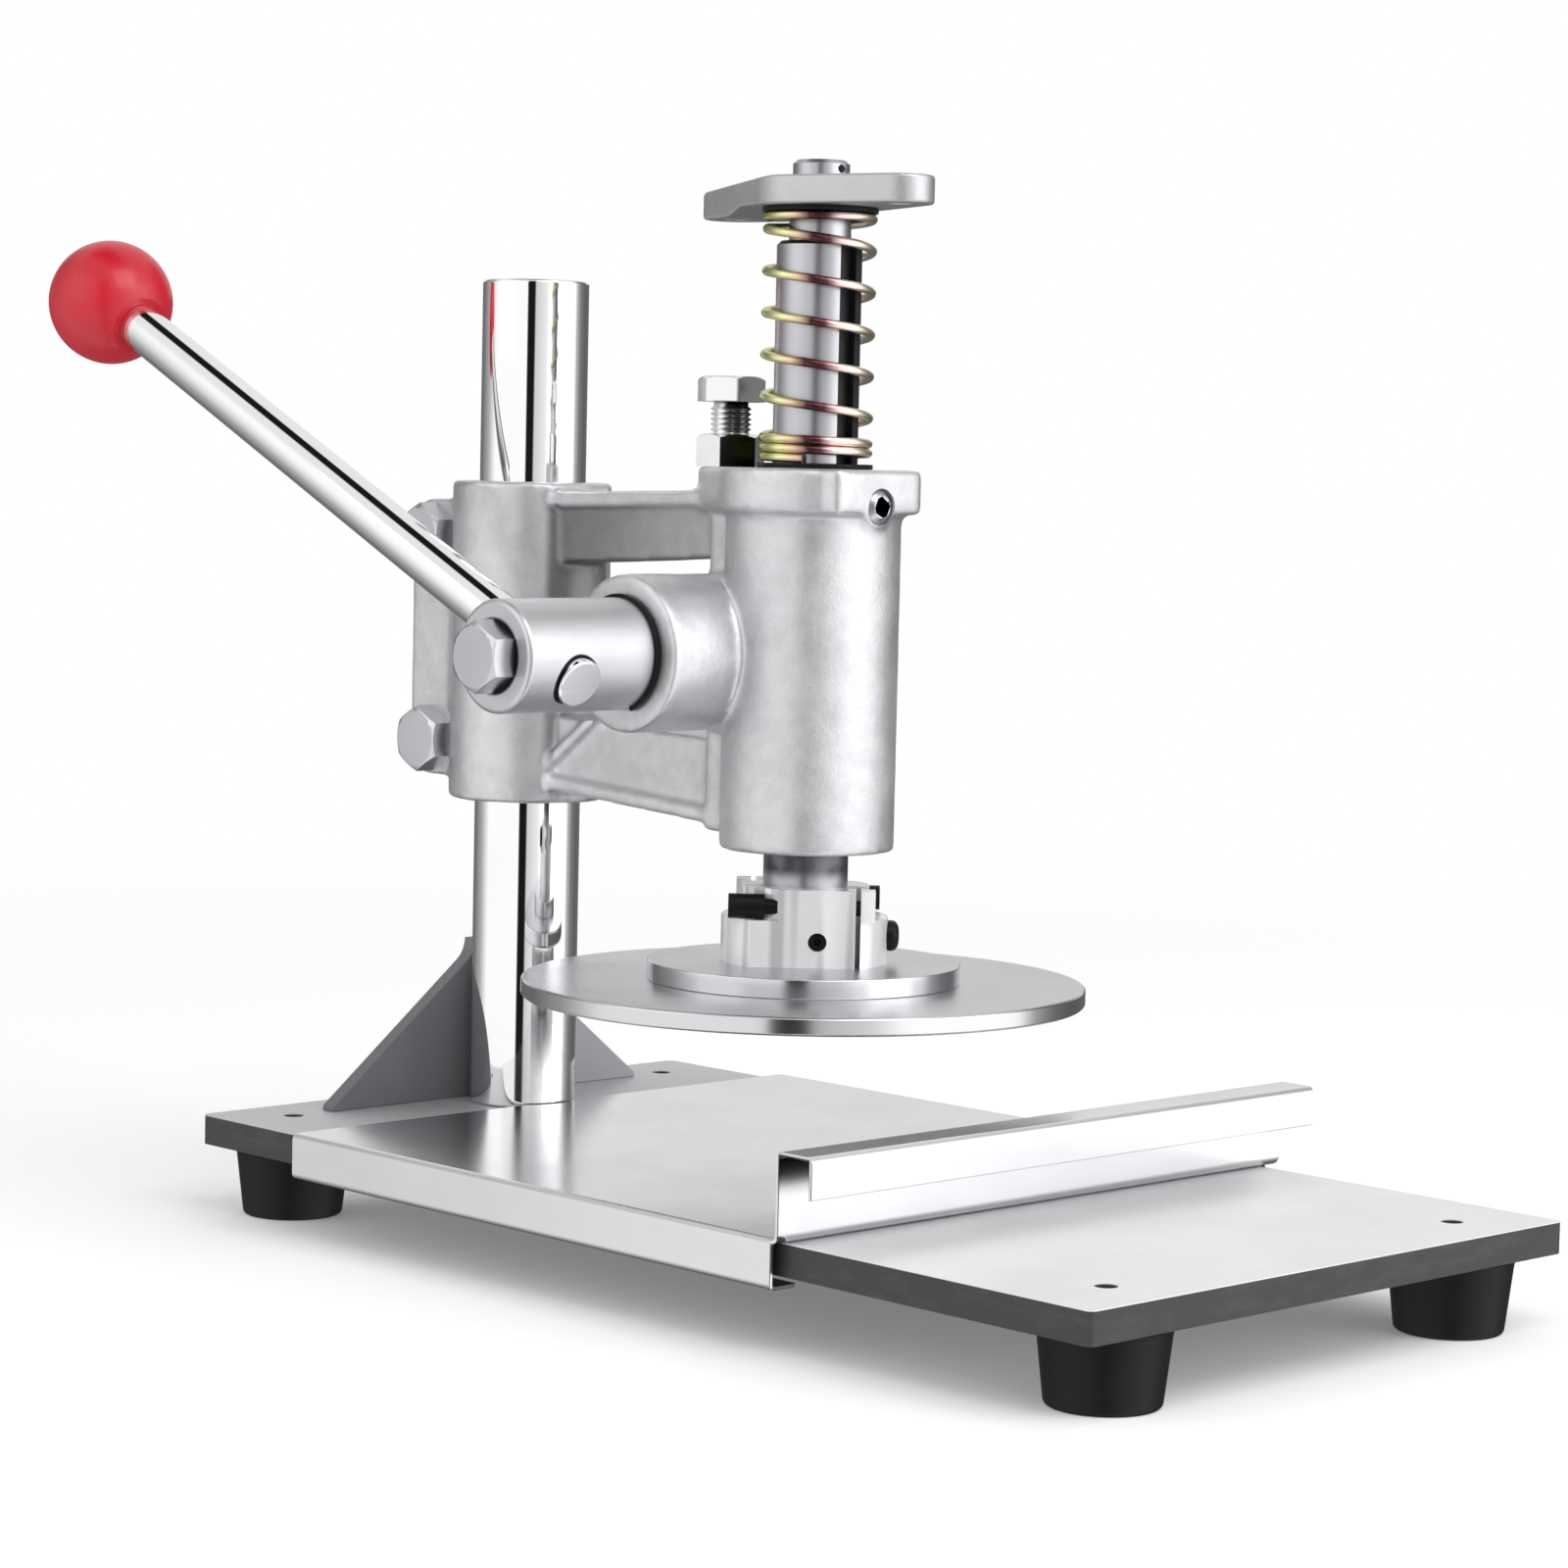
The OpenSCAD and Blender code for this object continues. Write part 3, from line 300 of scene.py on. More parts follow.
@dataclass(frozen=True)
class Finish:
    """A surface finish that makes one procedural material."""

    name: str
    colour: Colour
    shade: Colour
    roughness: float
    spread: float = 0.1
    metallic: float = 1.0
    coat: float = 0.0
    coat_roughness: float = 0.05
    centre: Vector = Vector((0.0, 0.0, 0.0))
    settings: Mapping[str, float] = field(default_factory=dict)

    def surface(self, graph: Graph) -> Inputs:
        """Give the inputs of the shader that vary over the surface."""
        raise NotImplementedError

    def build(self) -> bpy.types.Material:
        """Make the material.

        Returns:
            The new material.
        """
        material = bpy.data.materials.new(self.name)
        material.use_nodes = True
        graph = Graph(material.node_tree)
        inputs: Inputs = {
            "Metallic": self.metallic, "Coat Weight": self.coat, "Coat Roughness": self.coat_roughness,
            **self.settings, **self.surface(graph),
        }
        graph.close("ShaderNodeOutputMaterial", graph.node("ShaderNodeBsdfPrincipled", None, inputs))
        return material


@dataclass(frozen=True)
class CastPaint(Finish):
    """Silver paint over a sand casting."""

    lumps: Triple = (26.0, 150.0, 900.0)
    depth: float = 0.0002
    relief: float = 0.8
    cap_level: float = 0.4
    cap_tone: float = 0.8
    web_half: float = 0.0137
    web_reach: Pair = (0.036, 0.134)
    web_top: float = 0.2915
    pinion_level: float = 0.236
    lower_shade: float = 0.07
    upper_shades: Pair = (0.3, 0.7)
    column_y: float = 0.168
    sector_slope: Pair = (0.695, 0.719)
    sleeve_sector: float = 0.0086
    sleeve_foot: float = 0.186
    sleeve_shades: Pair = (0.5, 0.65)
    # painted shade: the near-black colour laid where shade falls on the webs and on the sleeve between the
    # arms
    painted_web_shade: Colour = (0.03, 0.03, 0.032, 1.0)

    def webs(self, graph: Graph, place: Value) -> Value:
        """Give the painted shade of the arms' sunk webs, and of the sleeve between them, where shade falls
        between the arms.

        Args:
            graph: The material's node tree.
            place: The place on the piece, from the ram's axis.

        Returns:
            The share of painted shade, from 0 to 1.
        """
        x, y, z = graph.parts(place)
        near, far = self.web_reach
        along, across = self.sector_slope
        upper = z.above(self.pinion_level, 0.01)
        sunk = x.size().below(self.web_half, 0.0005) * y.above(near, 0.002) * y.below(far, 0.001)
        arms = sunk * blend(self.lower_shade, blend(*self.upper_shades, y.ease(near, far)), upper)
        sector = along * (self.column_y - y) - across * x.size()
        sleeve = y.above(far, 0.001) * z.above(self.sleeve_foot, 0.003)
        facing = sector.above(self.sleeve_sector, 0.002) * sleeve
        # painted shade on the sunk webs and on the sleeve that faces the housing
        return z.below(self.web_top, 0.001) * (arms + facing * blend(*self.sleeve_shades, upper))

    def surface(self, graph: Graph) -> Inputs:
        """Mix broad tones, a sand grain and a few duller patches, with painted shade on the webs and a barer
        cap.

        Args:
            graph: The material's node tree.

        Returns:
            The shader's inputs that vary.
        """
        place = graph.place(self.centre)
        broad_scale, wave_scale, grain_scale = self.lumps
        broad = graph.noise(place, broad_scale, 3.0)
        wave = graph.noise(place, wave_scale)
        grain = graph.noise(place, grain_scale, 3.0, 0.55)
        rougher_patch_and_rear_shade = broad.ease(0.4, 0.68)
        tone = (broad * 0.4 + wave * 0.35 + grain * 0.25).ease(0.36, 0.64)
        bare = graph.part(place, "Z").above(self.cap_level, 0.001)
        # painted shade mixed into the paint on the webs and the sleeve between the arms
        paint = graph.mix(graph.mix(self.shade, self.colour, tone), self.painted_web_shade, self.webs(graph, place))
        return {
            "Base Color": graph.mix(paint, toned(self.shade, self.cap_tone), bare * 0.8),
            "Roughness": self.roughness + self.spread * (grain - 0.5) + 0.06 * rougher_patch_and_rear_shade,
            "Normal": graph.bump(grain * (0.4 + 0.4 * rougher_patch_and_rear_shade) + wave * 0.9, self.depth, self.relief),
        }


@dataclass(frozen=True)
class Brushed(Finish):
    """Bright metal with fine lines along one direction and a few smears."""

    lines: Triple = (1500.0, 1500.0, 20.0)
    smears: float = 22.0
    depth: float = 0.00002

    def surface(self, graph: Graph) -> Inputs:
        """Lay fine lines and faint smears over the metal.

        Args:
            graph: The material's node tree.

        Returns:
            The shader's inputs that vary.
        """
        hair = graph.streaks(self.lines, 3.0, 0.6)
        smear = graph.noise(graph.point(), self.smears, 3.0, 0.55).ease(0.35, 0.7)
        return {
            "Base Color": graph.mix(self.colour, self.shade, hair * 0.5 + smear * 0.4),
            "Roughness": self.roughness + self.spread * (hair * 0.6 + smear * 0.4 - 0.4),
            "Normal": graph.bump(hair, self.depth, 0.5),
        }


@dataclass(frozen=True)
class SawnPlate(Brushed):
    """Satin plate whose cut edges below a level are dark and rough."""

    level: float = 0.0
    edge: Colour = (0.1, 0.1, 0.105, 1.0)
    # painted shade: colour and reach of the darkening towards the rear of the top
    rougher_patch_and_rear_shade: Colour = (0.6, 0.6, 0.615, 1.0)
    rear: Pair = (0.02, 0.1)
    mottles: Triple = (60.0, 60.0, 240.0)

    def surface(self, graph: Graph) -> Inputs:
        """Keep the satin on top with painted shade towards the rear, and darken the sawn edges.

        Args:
            graph: The material's node tree.

        Returns:
            The shader's inputs that vary.
        """
        satin = super().surface(graph)
        _, y, z = graph.parts(graph.point())
        sawn = z.below(self.level - 0.00035, 0.00015)
        mottle = graph.streaks(self.mottles, 4.0, 0.6)
        dark = graph.mix(self.edge, toned(self.edge, 1.4), mottle.ease(0.4, 0.75))
        # painted shade towards the rear of the top
        top = graph.mix(satin["Base Color"], self.rougher_patch_and_rear_shade, y.ease(*self.rear))
        return {
            **satin,
            "Base Color": graph.mix(top, dark, sawn),
            "Roughness": satin["Roughness"] + sawn * (0.02 + 0.1 * mottle),
            "Metallic": self.metallic * (1.0 - 0.6 * sawn),
        }


@dataclass(frozen=True)
class MilledCollar(Brushed):
    """Milled aluminium whose faces wave a little, which breaks reflections into upright bands, with dark
    bands of painted reflection in its colour too.
    """

    waves: Triple = (62.0, 62.0, 2.0)
    crown: float = 0.0024
    bands: Triple = (170.0, 170.0, 3.0)
    # painted reflection: colour of the dark upright bands
    painted_reflection_dark: Colour = (0.45, 0.45, 0.47, 1.0)

    def surface(self, graph: Graph) -> Inputs:
        """Bend the metal by broad waves and paint dark reflection in upright bands.

        Args:
            graph: The material's node tree.

        Returns:
            The shader's inputs that vary.
        """
        metal = super().surface(graph)
        band = graph.streaks(self.bands).ease(0.52, 0.7)
        return {
            **metal,
            # painted reflection: dark upright bands mixed into the colour
            "Base Color": graph.mix(metal["Base Color"], self.painted_reflection_dark, band * 0.7),
            "Normal": graph.bump(graph.streaks(self.waves), self.crown),
        }


@dataclass(frozen=True)
class PaintWithPaintedLight(Brushed):
    """Grey paint with painted light: paler on the right of the column, where more light falls."""

    # painted light: the paler colour on the right side and its reach
    pale: Colour = (0.4, 0.4, 0.42, 1.0)
    painted_light_reach: Pair = (-0.01, 0.015)

    def surface(self, graph: Graph) -> Inputs:
        """Paint light on the right side, where the paint turns paler.

        Args:
            graph: The material's node tree.

        Returns:
            The shader's inputs that vary.
        """
        paint = super().surface(graph)
        side = graph.part(graph.place(self.centre), "X").ease(*self.painted_light_reach)
        # painted light on the right side of the column
        return {**paint, "Base Color": graph.mix(paint["Base Color"], self.pale, side)}


@dataclass(frozen=True)
class ZincPlate(Brushed):
    """Zinc plate, duller on the bolts; the stop is fresh, with painted shade on its side towards the ram."""

    fresh: Colour = (0.9, 0.905, 0.915, 1.0)
    # painted shade: dark colours laid on the stop's facets and shank that face the ram
    grease_and_painted_shade: Colour = (0.05, 0.05, 0.052, 1.0)
    painted_nut_shade: Colour = (0.01, 0.01, 0.01, 1.0)
    painted_facet_shade_shares: Pair = (0.99, 0.92)
    fresh_level: float = 0.302
    head_flat: Pair = (-0.0118, -0.0104)
    shank_side: Pair = (-0.0045, -0.0015)
    shank_heights: Pair = (0.3212, 0.3338)
    nut_side: Pair = (-0.485, -0.875)
    nut_flat: Pair = (0.0114, 0.0118)

    def surface(self, graph: Graph) -> Inputs:
        """Brighten the zinc of the stop and paint shade on its facets and shank on the side towards the ram.

        Args:
            graph: The material's node tree.

        Returns:
            The shader's inputs that vary.
        """
        plate = super().surface(graph)
        x, y, z = graph.parts(graph.place(self.centre))
        above = z.above(self.fresh_level, 0.001)
        low, high = self.shank_heights
        clear = z.above(low, 0.0003)
        shank = clear * z.below(high, 0.0003)
        flat, side = 1.0 - y.ease(*self.head_flat), 1.0 - y.ease(*self.shank_side)
        across, along = self.nut_side
        facet = (x * across + y * along).ease(*self.nut_flat)
        # painted shade on the nut's facet, the head's flat and the shank's side towards the ram
        painted_facet_shade = above * blend(facet, blend(flat, side, shank), clear) * blend(*self.painted_facet_shade_shares, clear)
        zinc = graph.mix(plate["Base Color"], self.fresh, above)
        return {
            **plate,
            # painted shade mixed into the zinc
            "Base Color": graph.mix(zinc, graph.mix(self.painted_nut_shade, self.grease_and_painted_shade, clear), painted_facet_shade),
            "Roughness": plate["Roughness"] - 0.1 * above,
        }


@dataclass(frozen=True)
class FoldedSheet(Brushed):
    """Polished sheet with painted shade inside its grip and its side hooks."""

    grip_reach: Pair = (-0.145, -0.1295)
    grip_heights: Pair = (0.056, 0.067)
    grip_top: float = 0.0725
    hook_reach: float = 0.1334
    hook_top: float = 0.04
    blur: float = 0.0003
    # painted shade: near-black colour inside the grip and the side hooks
    painted_fold_shade: Colour = (0.012, 0.012, 0.013, 1.0)

    def surface(self, graph: Graph) -> Inputs:
        """Paint shade inside the folds.

        Args:
            graph: The material's node tree.

        Returns:
            The shader's inputs that vary.
        """
        sheet = super().surface(graph)
        x, y, z = graph.parts(graph.place(self.centre))
        near, far = self.grip_reach
        grip = y.above(near, self.blur) * y.below(far, self.blur) * z.ease(*self.grip_heights)
        grip = grip * z.below(self.grip_top, self.blur)
        hook = x.size().below(self.hook_reach, self.blur) * z.below(self.hook_top, self.blur)
        # painted shade inside the grip and the hooks
        return {**sheet, "Base Color": graph.mix(sheet["Base Color"], self.painted_fold_shade, (grip + hook) * 0.9)}


@dataclass(frozen=True)
class TurnedFace(Finish):
    """Metal turned on a lathe: fine rings round an upright axis."""

    pitch: float = 0.0004
    depth: float = 0.00002
    smears: float = 18.0
    plate_r: float = 0.1
    disc_r: float = 0.05
    disc_z: float = 0.1
    rim_w: float = 0.0004
    bright: Colour = (0.68, 0.685, 0.695, 1.0)

    def surface(self, graph: Graph) -> Inputs:
        """Draw the rings by the distance from the axis, and polish both rims.

        Args:
            graph: The material's node tree.

        Returns:
            The shader's inputs that vary.
        """
        place = graph.place(self.centre)
        x, y, z = graph.parts(place)
        radius = x.reach(y)
        rings = graph.node("ShaderNodeTexNoise", {"noise_dimensions": "1D"}, {
            "W": radius / self.pitch, "Scale": 1.0, "Detail": 3.0,
        })
        smear = graph.noise(place, self.smears, 3.0).ease(0.35, 0.7)
        disc = radius.above(self.disc_r - self.rim_w, 0.0001) * z.above(self.disc_z + 0.0001, 0.0001)
        rim = disc + radius.above(self.plate_r - self.rim_w, 0.0001)
        turned = graph.mix(self.colour, self.shade, rings * 0.6 + smear * 0.3)
        return {
            "Base Color": graph.mix(turned, self.bright, rim),
            "Roughness": self.roughness + self.spread * (rings + 0.4 * smear - 0.6) - 0.14 * rim,
            "Normal": graph.bump(rings, self.depth, 0.5),
        }


@dataclass(frozen=True)
class Moulded(Finish):
    """Plastic or rubber from a mould, with a fine skin and dust."""

    grain: float = 2500.0
    specks: float = 45.0
    depth: float = 0.00004

    def surface(self, graph: Graph) -> Inputs:
        """Give the skin its grain and a little dust.

        Args:
            graph: The material's node tree.

        Returns:
            The shader's inputs that vary.
        """
        skin = graph.noise(graph.point(), self.grain)
        dust = graph.noise(graph.point(), self.specks, 4.0, 0.6).ease(0.45, 0.75)
        return {
            "Base Color": graph.mix(self.colour, self.shade, dust * 0.5 + skin * 0.2),
            "Roughness": self.roughness + self.spread * (dust * 0.7 + skin * 0.3),
            "Normal": graph.bump(skin, self.depth, 0.5),
        }


@dataclass(frozen=True)
class GroundRam(Brushed):
    """Ground steel bar with a greased key slot, painted dark reflection beside it, and painted shadow round
    its foot under the housing.
    """

    # grease in the key slot, also used as painted dark reflection on the ram's side beside the slot
    grease_and_painted_shade: Colour = (0.006, 0.006, 0.007, 1.0)
    # painted shadow: the dark colour where the ram leaves the housing
    painted_shadow: Colour = (0.05, 0.05, 0.055, 1.0)
    slot_turns: Pair = (-10.0, 52.0)
    slot_heights: Pair = (0.2895, 0.39475)
    foot_heights: Pair = (0.151, 0.1655)
    foot_blur: float = 0.003
    streaks: float = 90.0

    def surface(self, graph: Graph) -> Inputs:
        """Lay grease over the slot and painted dark reflection on its side, and painted shadow round the
        foot under the housing.

        Args:
            graph: The material's node tree.

        Returns:
            The shader's inputs that vary.
        """
        steel = super().surface(graph)
        place = graph.place(self.centre)
        x, y, z = graph.parts(place)
        turn = x.angle(-1.0 * y) * (180.0 / math.pi)
        first, last = self.slot_turns
        low, high = self.slot_heights
        # the key slot's grease, and painted dark reflection beyond the slot up to the ram's right side
        slot = turn.above(first, 1.0) * turn.below(last, 4.0) * z.above(low, 0.0005) * z.below(high, 0.00025)
        low, high = self.foot_heights
        # painted shadow just under the housing, in streaks
        foot = z.above(low, self.foot_blur) * z.below(high, self.foot_blur) * 0.95
        painted_shadow_share = foot * (1.0 - graph.noise(place, self.streaks, 3.0).ease(0.3, 0.6) * 0.25)
        return {
            **steel,
            "Base Color": graph.mix(graph.mix(steel["Base Color"], self.painted_shadow, painted_shadow_share), self.grease_and_painted_shade, slot),
            "Roughness": steel["Roughness"] + 0.1 * painted_shadow_share + 0.2 * slot,
            "Metallic": 1.0 - 0.9 * slot,
        }


@dataclass(frozen=True)
class TurnedHub(Brushed):
    """Turned shaft end with painted shadow in a ring round its bolt, and round and inside the lever's hole.
    """

    lever: Vector = Vector((0.0, 0.904, 0.427))
    end_x: float = -0.02465
    bolt_ring: float = 0.0145
    hole_ring: float = 0.01045
    hole_depth: float = -0.01
    ring_shift: float = 0.0006
    # painted shadow colour for the ring round the bolt and for the lever's hole
    painted_shadow: Colour = (0.012, 0.012, 0.013, 1.0)

    def surface(self, graph: Graph) -> Inputs:
        """Paint shadow on the turned metal round the bolt and in and round the lever's hole.

        Args:
            graph: The material's node tree.

        Returns:
            The shader's inputs that vary.
        """
        metal = super().surface(graph)
        x, y, z = graph.parts(graph.place(self.centre))
        across = z * self.lever.y - y * self.lever.z
        along = y * self.lever.y + z * self.lever.z
        hole = (x + self.ring_shift).reach(across).below(self.hole_ring, 0.00025)
        bolt = y.reach(z).below(self.bolt_ring, 0.0007)
        # painted shadow round the bolt's head and in and round the lever's hole
        dark = hole * along.below(self.hole_depth, 0.002) + bolt * x.below(self.end_x, 0.00015)
        return {**metal, "Base Color": graph.mix(metal["Base Color"], self.painted_shadow, dark)}


@dataclass(frozen=True)
class RainbowZinc(Finish):
    """Passivated zinc on wire, which shows yellow, green and pink bands, laid across the coil with a dark
    painted reflection in its middle.
    """

    across: Pair = (0.72, -0.694)
    reach: float = 0.022
    drifts: float = 60.0
    specks: float = 1800.0
    depth: float = 0.00002
    # the film's own hues, laid out as painted reflection: the dark stops in the middle stand for a dark
    # reflection
    film_and_painted_reflection: Tuple[Tuple[float, Colour], ...] = (
        (0.00, (0.50, 0.52, 0.20, 1.0)), (0.15, (0.86, 0.86, 0.44, 1.0)), (0.30, (0.74, 0.54, 0.36, 1.0)),
        (0.42, (0.10, 0.03, 0.035, 1.0)), (0.56, (0.16, 0.05, 0.06, 1.0)), (0.68, (0.84, 0.62, 0.58, 1.0)),
        (0.84, (0.90, 0.78, 0.66, 1.0)), (1.00, (0.70, 0.62, 0.42, 1.0)),
    )

    def surface(self, graph: Graph) -> Inputs:
        """Let the film's colour drift from one side of the coil to the other, through a dark painted
        reflection in the middle.

        Args:
            graph: The material's node tree.

        Returns:
            The shader's inputs that vary.
        """
        place = graph.place(self.centre)
        x, y, _ = graph.parts(place)
        side = x * self.across[0] + y * self.across[1]
        drift = side / (2.0 * self.reach) + 0.38 + 0.24 * graph.noise(place, self.drifts, 2.0, 0.45)
        speck = graph.noise(place, self.specks)
        return {
            # film hues and painted reflection, by the side of the coil
            "Base Color": graph.mix(graph.ramp(drift, self.film_and_painted_reflection), self.shade, speck.ease(0.55, 0.85) * 0.25),
            "Roughness": self.roughness + self.spread * speck,
            "Normal": graph.bump(speck, self.depth, 0.4),
        }


@dataclass(frozen=True)
class FloorPaper(Finish):
    """Pale paper that runs out into white light far from the press."""

    run_out: Pair = (0.55, 1.7)
    glow: Colour = (0.16, 0.16, 0.16, 1.0)
    fibres: float = 300.0

    def surface(self, graph: Graph) -> Inputs:
        """Fade from paper to white by the distance from the press.

        Args:
            graph: The material's node tree.

        Returns:
            The shader's inputs that vary.
        """
        place = graph.point()
        x, y, _ = graph.parts(place)
        far = x.reach(y).ease(*self.run_out)
        fibre = graph.noise(place, self.fibres, 3.0)
        return {
            "Base Color": graph.mix(graph.mix(self.colour, self.shade, fibre), BLACK, far),
            "Emission Color": graph.mix(self.glow, WHITE, far),
            "Roughness": self.roughness + self.spread * fibre,
        }


def copy_of(node: str) -> Mesh:
    """Copy a CAD node's mesh.

    Args:
        node: Name of the CAD node.

    Returns:
        The copy with its loose triangles merged.
    """
    mesh = bmesh.new()
    mesh.from_mesh(frame["nodes"][node].data)
    bmesh.ops.remove_doubles(mesh, verts=mesh.verts, dist=1e-6)
    return mesh


def bevel(mesh: Mesh, edges: Sequence[bmesh.types.BMEdge], width: float, segments: int) -> None:
    """Round some edges of a mesh.

    Args:
        mesh: The mesh to change.
        edges: The edges to round.
        width: Width of the rounding in millimetres.
        segments: Faces across the rounding.
    """
    bmesh.ops.bevel(
        mesh, geom=edges, offset=width * MM, offset_type="OFFSET", segments=segments, profile=0.5,
        affect="EDGES", clamp_overlap=True, material=-1,
    )


def break_edges(mesh: Mesh, width: float, segments: int = 2, angle: float = 30.0) -> None:
    """Round a mesh's sharp edges.

    Args:
        mesh: The mesh to change.
        width: Width of the rounding in millimetres.
        segments: Faces across the rounding.
        angle: Edges with a greater angle between their faces are rounded, in degrees.
    """
    limit = math.radians(angle)
    bevel(mesh, [e for e in mesh.edges if e.is_manifold and e.calc_face_angle(0.0) > limit], width, segments)


def flatten_facets(mesh: Mesh) -> None:
    """Join the triangles of each flat face into one face.

    Args:
        mesh: The mesh to change.
    """
    bmesh.ops.dissolve_limit(
        mesh, angle_limit=math.radians(0.4), verts=mesh.verts, edges=mesh.edges,
        use_dissolve_boundaries=False,
    )


def cut_off(mesh: Mesh, place: Vector, outwards: Vector) -> None:
    """Cut a mesh at a plane, keep what lies outwards of it and close the cut.

    Args:
        mesh: The mesh to change.
        place: A point of the plane.
        outwards: Direction to the side that is kept.
    """
    geometry = [*mesh.verts, *mesh.edges, *mesh.faces]
    bmesh.ops.bisect_plane(
        mesh, geom=geometry, dist=1e-7, plane_co=place, plane_no=outwards, clear_inner=True,
    )
    bmesh.ops.holes_fill(mesh, edges=[e for e in mesh.edges if e.is_boundary], sides=0)


def standing(place: Vector, direction: Vector) -> Matrix:
    """Give the matrix that carries +Z at the origin to a direction at a place."""
    return Matrix.Translation(place) @ UP.rotation_difference(direction).to_matrix().to_4x4()


def add_turned(mesh: Mesh, profile: Sequence[Pair], place: Matrix, steps: int = 96) -> None:
    """Spin a closed profile round an axis.

    Args:
        mesh: The mesh that gets the turned body.
        profile: Radius and height of each corner in millimetres, from axis to axis.
        place: Matrix that carries the axis from +Z to its place.
        steps: Steps in a full turn.
    """
    old = set(mesh.verts)
    corners = [mesh.verts.new((r * MM, 0.0, h * MM)) for r, h in profile]
    sides = [mesh.edges.new(pair) for pair in zip(corners, corners[1:])]
    bmesh.ops.spin(
        mesh, geom=corners + sides, cent=(0.0, 0.0, 0.0), axis=UP, angle=math.tau, steps=steps,
        use_merge=True,
    )
    bmesh.ops.remove_doubles(mesh, verts=[v for v in mesh.verts if v not in old], dist=1e-7)
    made = [v for v in mesh.verts if v not in old]
    bmesh.ops.recalc_face_normals(mesh, faces=list({f for v in made for f in v.link_faces}))
    bmesh.ops.transform(mesh, matrix=place, verts=made)


def add_bar(mesh: Mesh, start: Vector, end: Vector, radius: float, segments: int = 96) -> None:
    """Add a plain round bar between two points.

    Args:
        mesh: The mesh that gets the bar.
        start: Middle of one end.
        end: Middle of the other end.
        radius: Radius in millimetres.
        segments: Sides of the bar.
    """
    along = end - start
    bmesh.ops.create_cone(
        mesh, cap_ends=True, segments=segments, radius1=radius * MM, radius2=radius * MM, depth=along.length,
        matrix=standing((start + end) / 2, along.normalized()),
    )


def add_block(mesh: Mesh, low: Vector, high: Vector) -> None:
    """Add a block between two corners."""
    place = Matrix.Translation((low + high) / 2) @ Matrix.Diagonal((*(high - low), 1.0))
    bmesh.ops.create_cube(mesh, size=1.0, matrix=place)


def mesh_data(mesh: Mesh, name: str) -> bpy.types.Mesh:
    """Turn a mesh into data with a name.

    Args:
        mesh: The mesh, which is used up.
        name: Name of the data.

    Returns:
        The new data.
    """
    data = bpy.data.meshes.new(name)
    mesh.to_mesh(data)
    mesh.free()
    return data


def linked(data: bpy.types.ID) -> bpy.types.Object:
    """Put data into the scene as an object of the same name.

    Args:
        data: A mesh, a camera or a light.

    Returns:
        The new object.
    """
    made = bpy.data.objects.new(data.name, data)
    bpy.context.scene.collection.objects.link(made)
    return made


def with_modifiers(made: bpy.types.Object, *others: bpy.types.Object) -> Mesh:
    """Take an object's mesh with its modifiers applied and delete the passing objects.

    Args:
        made: The object, which is deleted.
        others: Objects that its modifiers use, deleted too.

    Returns:
        The finished mesh.
    """
    bpy.context.view_layer.update()
    result = bmesh.new()
    result.from_object(made, bpy.context.evaluated_depsgraph_get())
    for obj in (made, *others):
        data = obj.data
        bpy.data.objects.remove(obj)
        bpy.data.meshes.remove(data)
    return result


def cut(mesh: Mesh, cutters: Iterable[Mesh]) -> Mesh:
    """Cut bodies out of a mesh.

    Args:
        mesh: The closed mesh to cut, which is used up.
        cutters: Closed meshes to take away, which are used up.

    Returns:
        The mesh that is left.
    """
    body = linked(mesh_data(mesh, "cut_body"))
    tools = [linked(mesh_data(cutter, f"cutter_{i}")) for i, cutter in enumerate(cutters)]
    for tool in tools:
        modifier = body.modifiers.new(tool.name, "BOOLEAN")
        modifier.operation = "DIFFERENCE"
        modifier.solver = "MANIFOLD"
        modifier.object = tool
    return with_modifiers(body, *tools)


